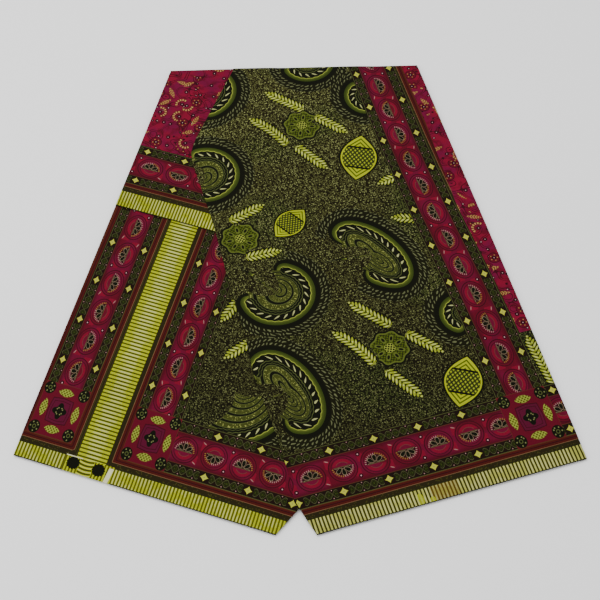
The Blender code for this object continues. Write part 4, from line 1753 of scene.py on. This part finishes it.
# %% Left leg
FOLD_RADIUS = 0.6
SELVEDGE_RADIUS = 0.3
FOLDS = (FOLD_RADIUS, FOLD_RADIUS, SELVEDGE_RADIUS, FOLD_RADIUS)  # left, right, near and far
LEG_CELL, END_CELL = 3.2, 3.0
LEFT_COLUMNS = (3, 22, 5, 15, 5, 22, 50)  # cells from each control line to the next
LEFT_TOP = 504.0  # the sheet goes on 40 mm under the turned end
HIDDEN_TUCK = 34.0  # how far it goes in under the main panel
NOTCH_REACH, NOTCH_RUN = 24.0, 60.0  # how far past the hem's end it may go, and over what distance up
BESIDE_BORDER = 14.0  # the least that it keeps beside its second border


def left_outline(up):
    """The left side in the leg's own axes: a straight line from the hem's corner to the top."""
    head = LEFT.from_plan(CORNER["top_left"])
    return head[0] * up / head[1] + FOLD_RADIUS


def under_main_panel(up):
    """A line under the main panel, a tuck inside its free edge, seen in the left leg's axes."""
    right_up = np.linspace(0, 700, 200)
    edge = RIGHT.to_plan(main_edge(right_up) + HIDDEN_TUCK, right_up)
    across, own_up = LEFT.from_plan(edge)
    order = np.argsort(own_up)
    at = np.interp(up, own_up[order], across[order])
    notch = LEFT.length + NOTCH_REACH * np.clip(up / NOTCH_RUN, 0, 1)
    least = SECOND_BORDER[1] + left_lean(up) + BESIDE_BORDER
    return np.maximum(np.minimum(at, notch), least)


def at_print(line, lean):
    """A control line that keeps to one place across the print."""
    return lambda up: line + lean(up)


left_lines = [at_print(line, left_lean) for line in (*LEFT_BORDER, *CUTTING_BAND, *SECOND_BORDER)]
left_leg = build_sheet(
    "left_leg_cloth",
    sheet_grid(
        LEFT,
        [left_outline, *left_lines, under_main_panel],
        LEFT_COLUMNS,
        left_lean,
        (0, COMB, STRIPES, BORDER, LEFT_TOP),
        LEG_CELL,
        None,
        FOLDS,
        left_leg_height,
    ),
    left_leg_zones,
    [("sprig", LEFT_SPRIGS), ("paisley", LEFT_PAISLEYS)],
    "left_leg",
)

# %% [markdown]
# ## The turned end
# The crimson stretch lies on the left leg with its selvedge towards the viewer. It starts 464 mm up the
# leg, so its own distances up are counted from there.

# %% Turned end
END_TUCK = 26.0  # how far it goes in under the main panel
END_SPAN = (531.0, 867.0)  # the free edge lies over it between these places up the right leg
END_LENGTH = 320.0  # from its selvedge to the top, before the rows fan out to the slanting fold
END_COLUMNS = 64


def end_side(up):
    """Its hidden side: a straight line, a tuck inside the main panel's free edge at both ends."""
    foot, head = (LEFT.from_plan(RIGHT.to_plan(main_edge(at) + END_TUCK, at)) for at in END_SPAN)
    return foot[0] + (head[0] - foot[0]) * (up - foot[1]) / (head[1] - foot[1])


def end_grid():
    """Its grid in the left leg's axes, with the print counted from its own selvedge."""
    points, across, p, q = sheet_grid(
        LEFT,
        [left_outline, end_side],
        (END_COLUMNS,),
        left_lean,
        [TURNED_END_HEM + mark for mark in (0, END_COMB, END_STRIPES, END_BORDER, END_LENGTH)],
        END_CELL,
        TURNED_END_HEM + END_BORDER,
        FOLDS,
        turned_end_height,
    )
    return points, across, p, q - TURNED_END_HEM


turned_end = build_sheet("turned_end_cloth", end_grid(), turned_end_zones, [], "turned_end")

# %% [markdown]
# ## The main panel
# The top stretch covers most of the object. Its free edge runs up from the notch, and near the top its
# corner is turned under on a slant, so the outline cuts across the print there.

# %% Main panel
MAIN_COLUMNS = (100, 24, 5, 5)
MAIN_LENGTH = 820.0  # from hem to top, before the rows fan out to the slanting fold
STRIPE_ROOM, BORDER_ROOM = 1.0, 3.0  # what the lines beside the outline leave for the columns outside them


def main_left(up):
    """The free edge, less the fold's radius."""
    return main_edge(up) + FOLD_RADIUS


def right_outline(up):
    """The right side: a straight line from the hem's corner to the top, less the fold's radius."""
    head = RIGHT.from_plan(CORNER["top_right"])
    return RIGHT.length + (head[0] - RIGHT.length) * up / head[1] - FOLD_RADIUS


def right_stripe_line(up):
    """The stripes' outer edge, or the outline where that comes first."""
    return np.minimum(stripes_end(up) + right_lean(up), right_outline(up) - STRIPE_ROOM)


def right_border_line(up):
    """The border's outer edge, likewise."""
    return np.minimum(RIGHT_BORDER[1] + right_lean(up), right_outline(up) - BORDER_ROOM)


right_lines = [at_print(RIGHT_BORDER[0], right_lean), right_border_line, right_stripe_line]
main_panel = build_sheet(
    "main_panel_cloth",
    sheet_grid(
        RIGHT,
        [main_left, *right_lines, right_outline],
        MAIN_COLUMNS,
        right_lean,
        (0, COMB, STRIPES, BORDER, GREEN_SLIVER_TOP, MAIN_LENGTH),
        LEG_CELL,
        GREEN_SLIVER_TOP,
        FOLDS,
        main_panel_height,
    ),
    main_panel_zones,
    [
        ("sprig", RIGHT_SPRIGS),
        ("medallion", RIGHT_MEDALLIONS),
        ("lozenge", RIGHT_LOZENGES),
        ("paisley", RIGHT_PAISLEYS),
    ],
    "main_panel",
)

# %% [markdown]
# ## The hidden layers
# Beneath lie the rest of the cloth's folds. Only their edges show, so each ply is a ribbon folded round
# its own outline: in on top, round the edge, in again below. The plies stand a little in and out of each
# other, as folded cloth does.

# %% Outline of a ply
PLIES = 4
PLY_REACH = 16.0  # how far a ply runs in from its edge, above and below
PLY_STEP = 7.0  # about the length of its cells
PLY_SPREAD = 0.5  # how much further in each ply lies than the one below
PLY_FILL = 0.94  # how much of its share of the pile a ply fills
EDGE_PLACES = 7  # places round its half circle
# How far inside each side of the outline the plies lie. A side is named for its first corner.
PLY_INSET = {
    "left_outer": 5.0,
    "left_inner": 2.5,
    "notch": 2.5,
    "right_inner": 5.0,
    "right_outer": 2.5,
    "top_right": 2.5,
    "top_left": 2.5,
}


def directions(steps):
    """Unit vectors along steps on the plan, and square to them, inwards."""
    ahead = steps / np.hypot(*steps.T)[:, None]
    return ahead, np.stack([-ahead[:, 1], ahead[:, 0]], axis=1)


def ply_outline(extra):
    """The outline's sides moved in, cut at their crossings, and walked round in short steps."""
    points = np.array(list(CORNER.values()))
    insets = np.array([PLY_INSET[name] for name in CORNER]) + extra
    ahead, inward = directions(np.roll(points, -1, axis=0) - points)
    placed = points + inward * insets[:, None]
    before, before_ahead = np.roll(placed, 1, axis=0), np.roll(ahead, 1, axis=0)
    gap = placed - before
    turn = before_ahead[:, 0] * ahead[:, 1] - before_ahead[:, 1] * ahead[:, 0]
    along = (gap[:, 0] * ahead[:, 1] - gap[:, 1] * ahead[:, 0]) / turn
    corners = before + before_ahead * along[:, None]
    walk = []
    for a, b in zip(corners, np.roll(corners, -1, axis=0)):
        steps = max(3, round(float(np.hypot(*(b - a))) / PLY_STEP))
        walk.append(a + (b - a) * (np.arange(steps) / steps)[:, None])
    return np.concatenate(walk)


print("the lowest ply's outline has", len(ply_outline(0)), "places")

# %% [markdown]
# ### One ply
# A folded edge shows only its roll, so a ply's section is short: flat, round, flat. Its thickness is its
# share of the pile, which gives thin edges at the hems and thick ones in the middle, as the solid has.

# %% Folded plies
def ply_stand(around, number):
    """How far a ply stands in or out along its edge: a short wave and a long one, its own for each ply."""
    short = 0.7 * np.sin(around * (0.21 + 0.05 * number) + 1.9 * number)
    return short + 0.5 * np.sin(around * 0.057 + number)


def build_ply(number, look):
    """One folded ply: a ribbon whose section is a flat run, a half circle and a flat run back."""
    loop = ply_outline(PLY_SPREAD * number)
    around = np.arange(len(loop))
    inward = directions(np.roll(loop, -1, axis=0) - np.roll(loop, 1, axis=0))[1]
    loop = loop + inward * ply_stand(around, number)[:, None]
    thick = pile_height(loop) / PLIES
    radius = thick / 2 * PLY_FILL
    turn = np.linspace(-math.pi / 2, math.pi / 2, EDGE_PLACES)
    inner = np.concatenate([[PLY_REACH], 1 - np.cos(turn), [PLY_REACH]])
    level = np.concatenate([[-1], np.sin(turn), [1]])
    depth = np.where(inner[None] == PLY_REACH, PLY_REACH, inner[None] * radius[:, None])
    plan = loop[:, None] + inward[:, None] * depth[..., None]
    z = thick[:, None] * (number + 0.5) + radius[:, None] * level[None]
    sections = len(inner)
    corner = around[:, None] * sections + np.arange(sections - 1)
    after = np.roll(around, -1)[:, None] * sections + np.arange(sections - 1)
    quads = np.stack([corner, after, after + 1, corner + 1], axis=-1).reshape(-1, 4)
    length = float(np.hypot(*(np.roll(loop, -1, axis=0) - loop).T).sum())
    width = 2 * PLY_REACH + math.pi * float(radius.mean())
    run = np.repeat(around * length / len(loop), sections)[quads]
    run[-(sections - 1):, 1:3] = length
    over = np.tile(np.linspace(0, width, sections), len(loop))[quads]
    flat = np.stack([run, over], axis=-1)
    name = f"folded_ply_{number + 1}"
    piece = cloth_piece(name, np.dstack([plan, z]), quads, flat, flat, [look], "hidden_layers")
    return piece


# The print as it shows on a fold's edge: short runs of crimson and flecks of olive on dark olive.
folded_edge = motif_print(
    "folded_edge_print",
    ("along", "across"),
    (("red", "GREATER_THAN", "run", 0.5), ("flecked", "GREATER_THAN", "fleck", 0.56)),
    (("red", "deep_crimson"), ("flecked", "olive")),
    "dark_olive",
    run=("TexNoise", {"Scale": 0.05, "Detail": 2.0}),
    fleck=("TexNoise", {"Scale": 0.3, "Detail": 1.0}),
)
plies = [build_ply(number, folded_edge) for number in range(PLIES)]
print(len(plies), "plies,", sum(len(piece.data.polygons) for piece in plies) * 2, "triangles")

# %% [markdown]
# ## Floor and light
# The photograph is a cut-out on white with almost no shadow, so the floor is plain and nearly white, and
# the light is broad: a large soft panel above, and a pale sky all round. One side is a little brighter,
# which brings out the creases.

# %% Floor
FLOOR_REACH = 6.0
FLOOR_CORNERS = ((-1, -1), (1, -1), (1, 1), (-1, 1))
FLOOR_WHITE = 0.93
floor_mesh = bpy.data.meshes.new("floor")
floor_places = [(x * FLOOR_REACH, y * FLOOR_REACH, 0) for x, y in FLOOR_CORNERS]
floor_mesh.from_pydata(floor_places, [], [(0, 1, 2, 3)])
floor = bpy.data.objects.new("floor", floor_mesh)
bpy.context.scene.collection.objects.link(floor)
floor_look, floor_tree = new_print("pale_paper")
floor_shader = floor_tree.nodes["Principled BSDF"]
floor_shader.inputs["Base Color"].default_value = (FLOOR_WHITE, FLOOR_WHITE, FLOOR_WHITE, 1)
floor_shader.inputs["Roughness"].default_value = 0.9
floor_shader.inputs["Specular IOR Level"].default_value = 0.1
floor_mesh.materials.append(floor_look)
print("floor", 2 * FLOOR_REACH, "m wide")

# %% Sky and lamps
world = bpy.data.worlds.new("pale_sky")
world.use_nodes = True
world.node_tree.nodes["Background"].inputs["Color"].default_value = (1, 1, 1, 1)
world.node_tree.nodes["Background"].inputs["Strength"].default_value = 0.95
bpy.context.scene.world = world

# Name, place, size in metres, power in watts. Each is turned to face the middle of the cloth.
LIGHTS = (
    ("overhead_panel", (-0.6, 0.5, 2.6), 2.4, 62.0),
    ("side_panel", (-2.2, -0.4, 1.5), 1.2, 16.0),
)
for name, place, size, power in LIGHTS:
    data = bpy.data.lights.new(name, "AREA")
    data.size = size
    data.energy = power
    light = bpy.data.objects.new(name, data)
    light.location = place
    x, y, z = -np.array(place)
    light.rotation_euler = (math.atan2(math.hypot(x, y), -z), 0, math.atan2(y, x) - math.pi / 2)
    bpy.context.scene.collection.objects.link(light)
print(len(LIGHTS), "lights")
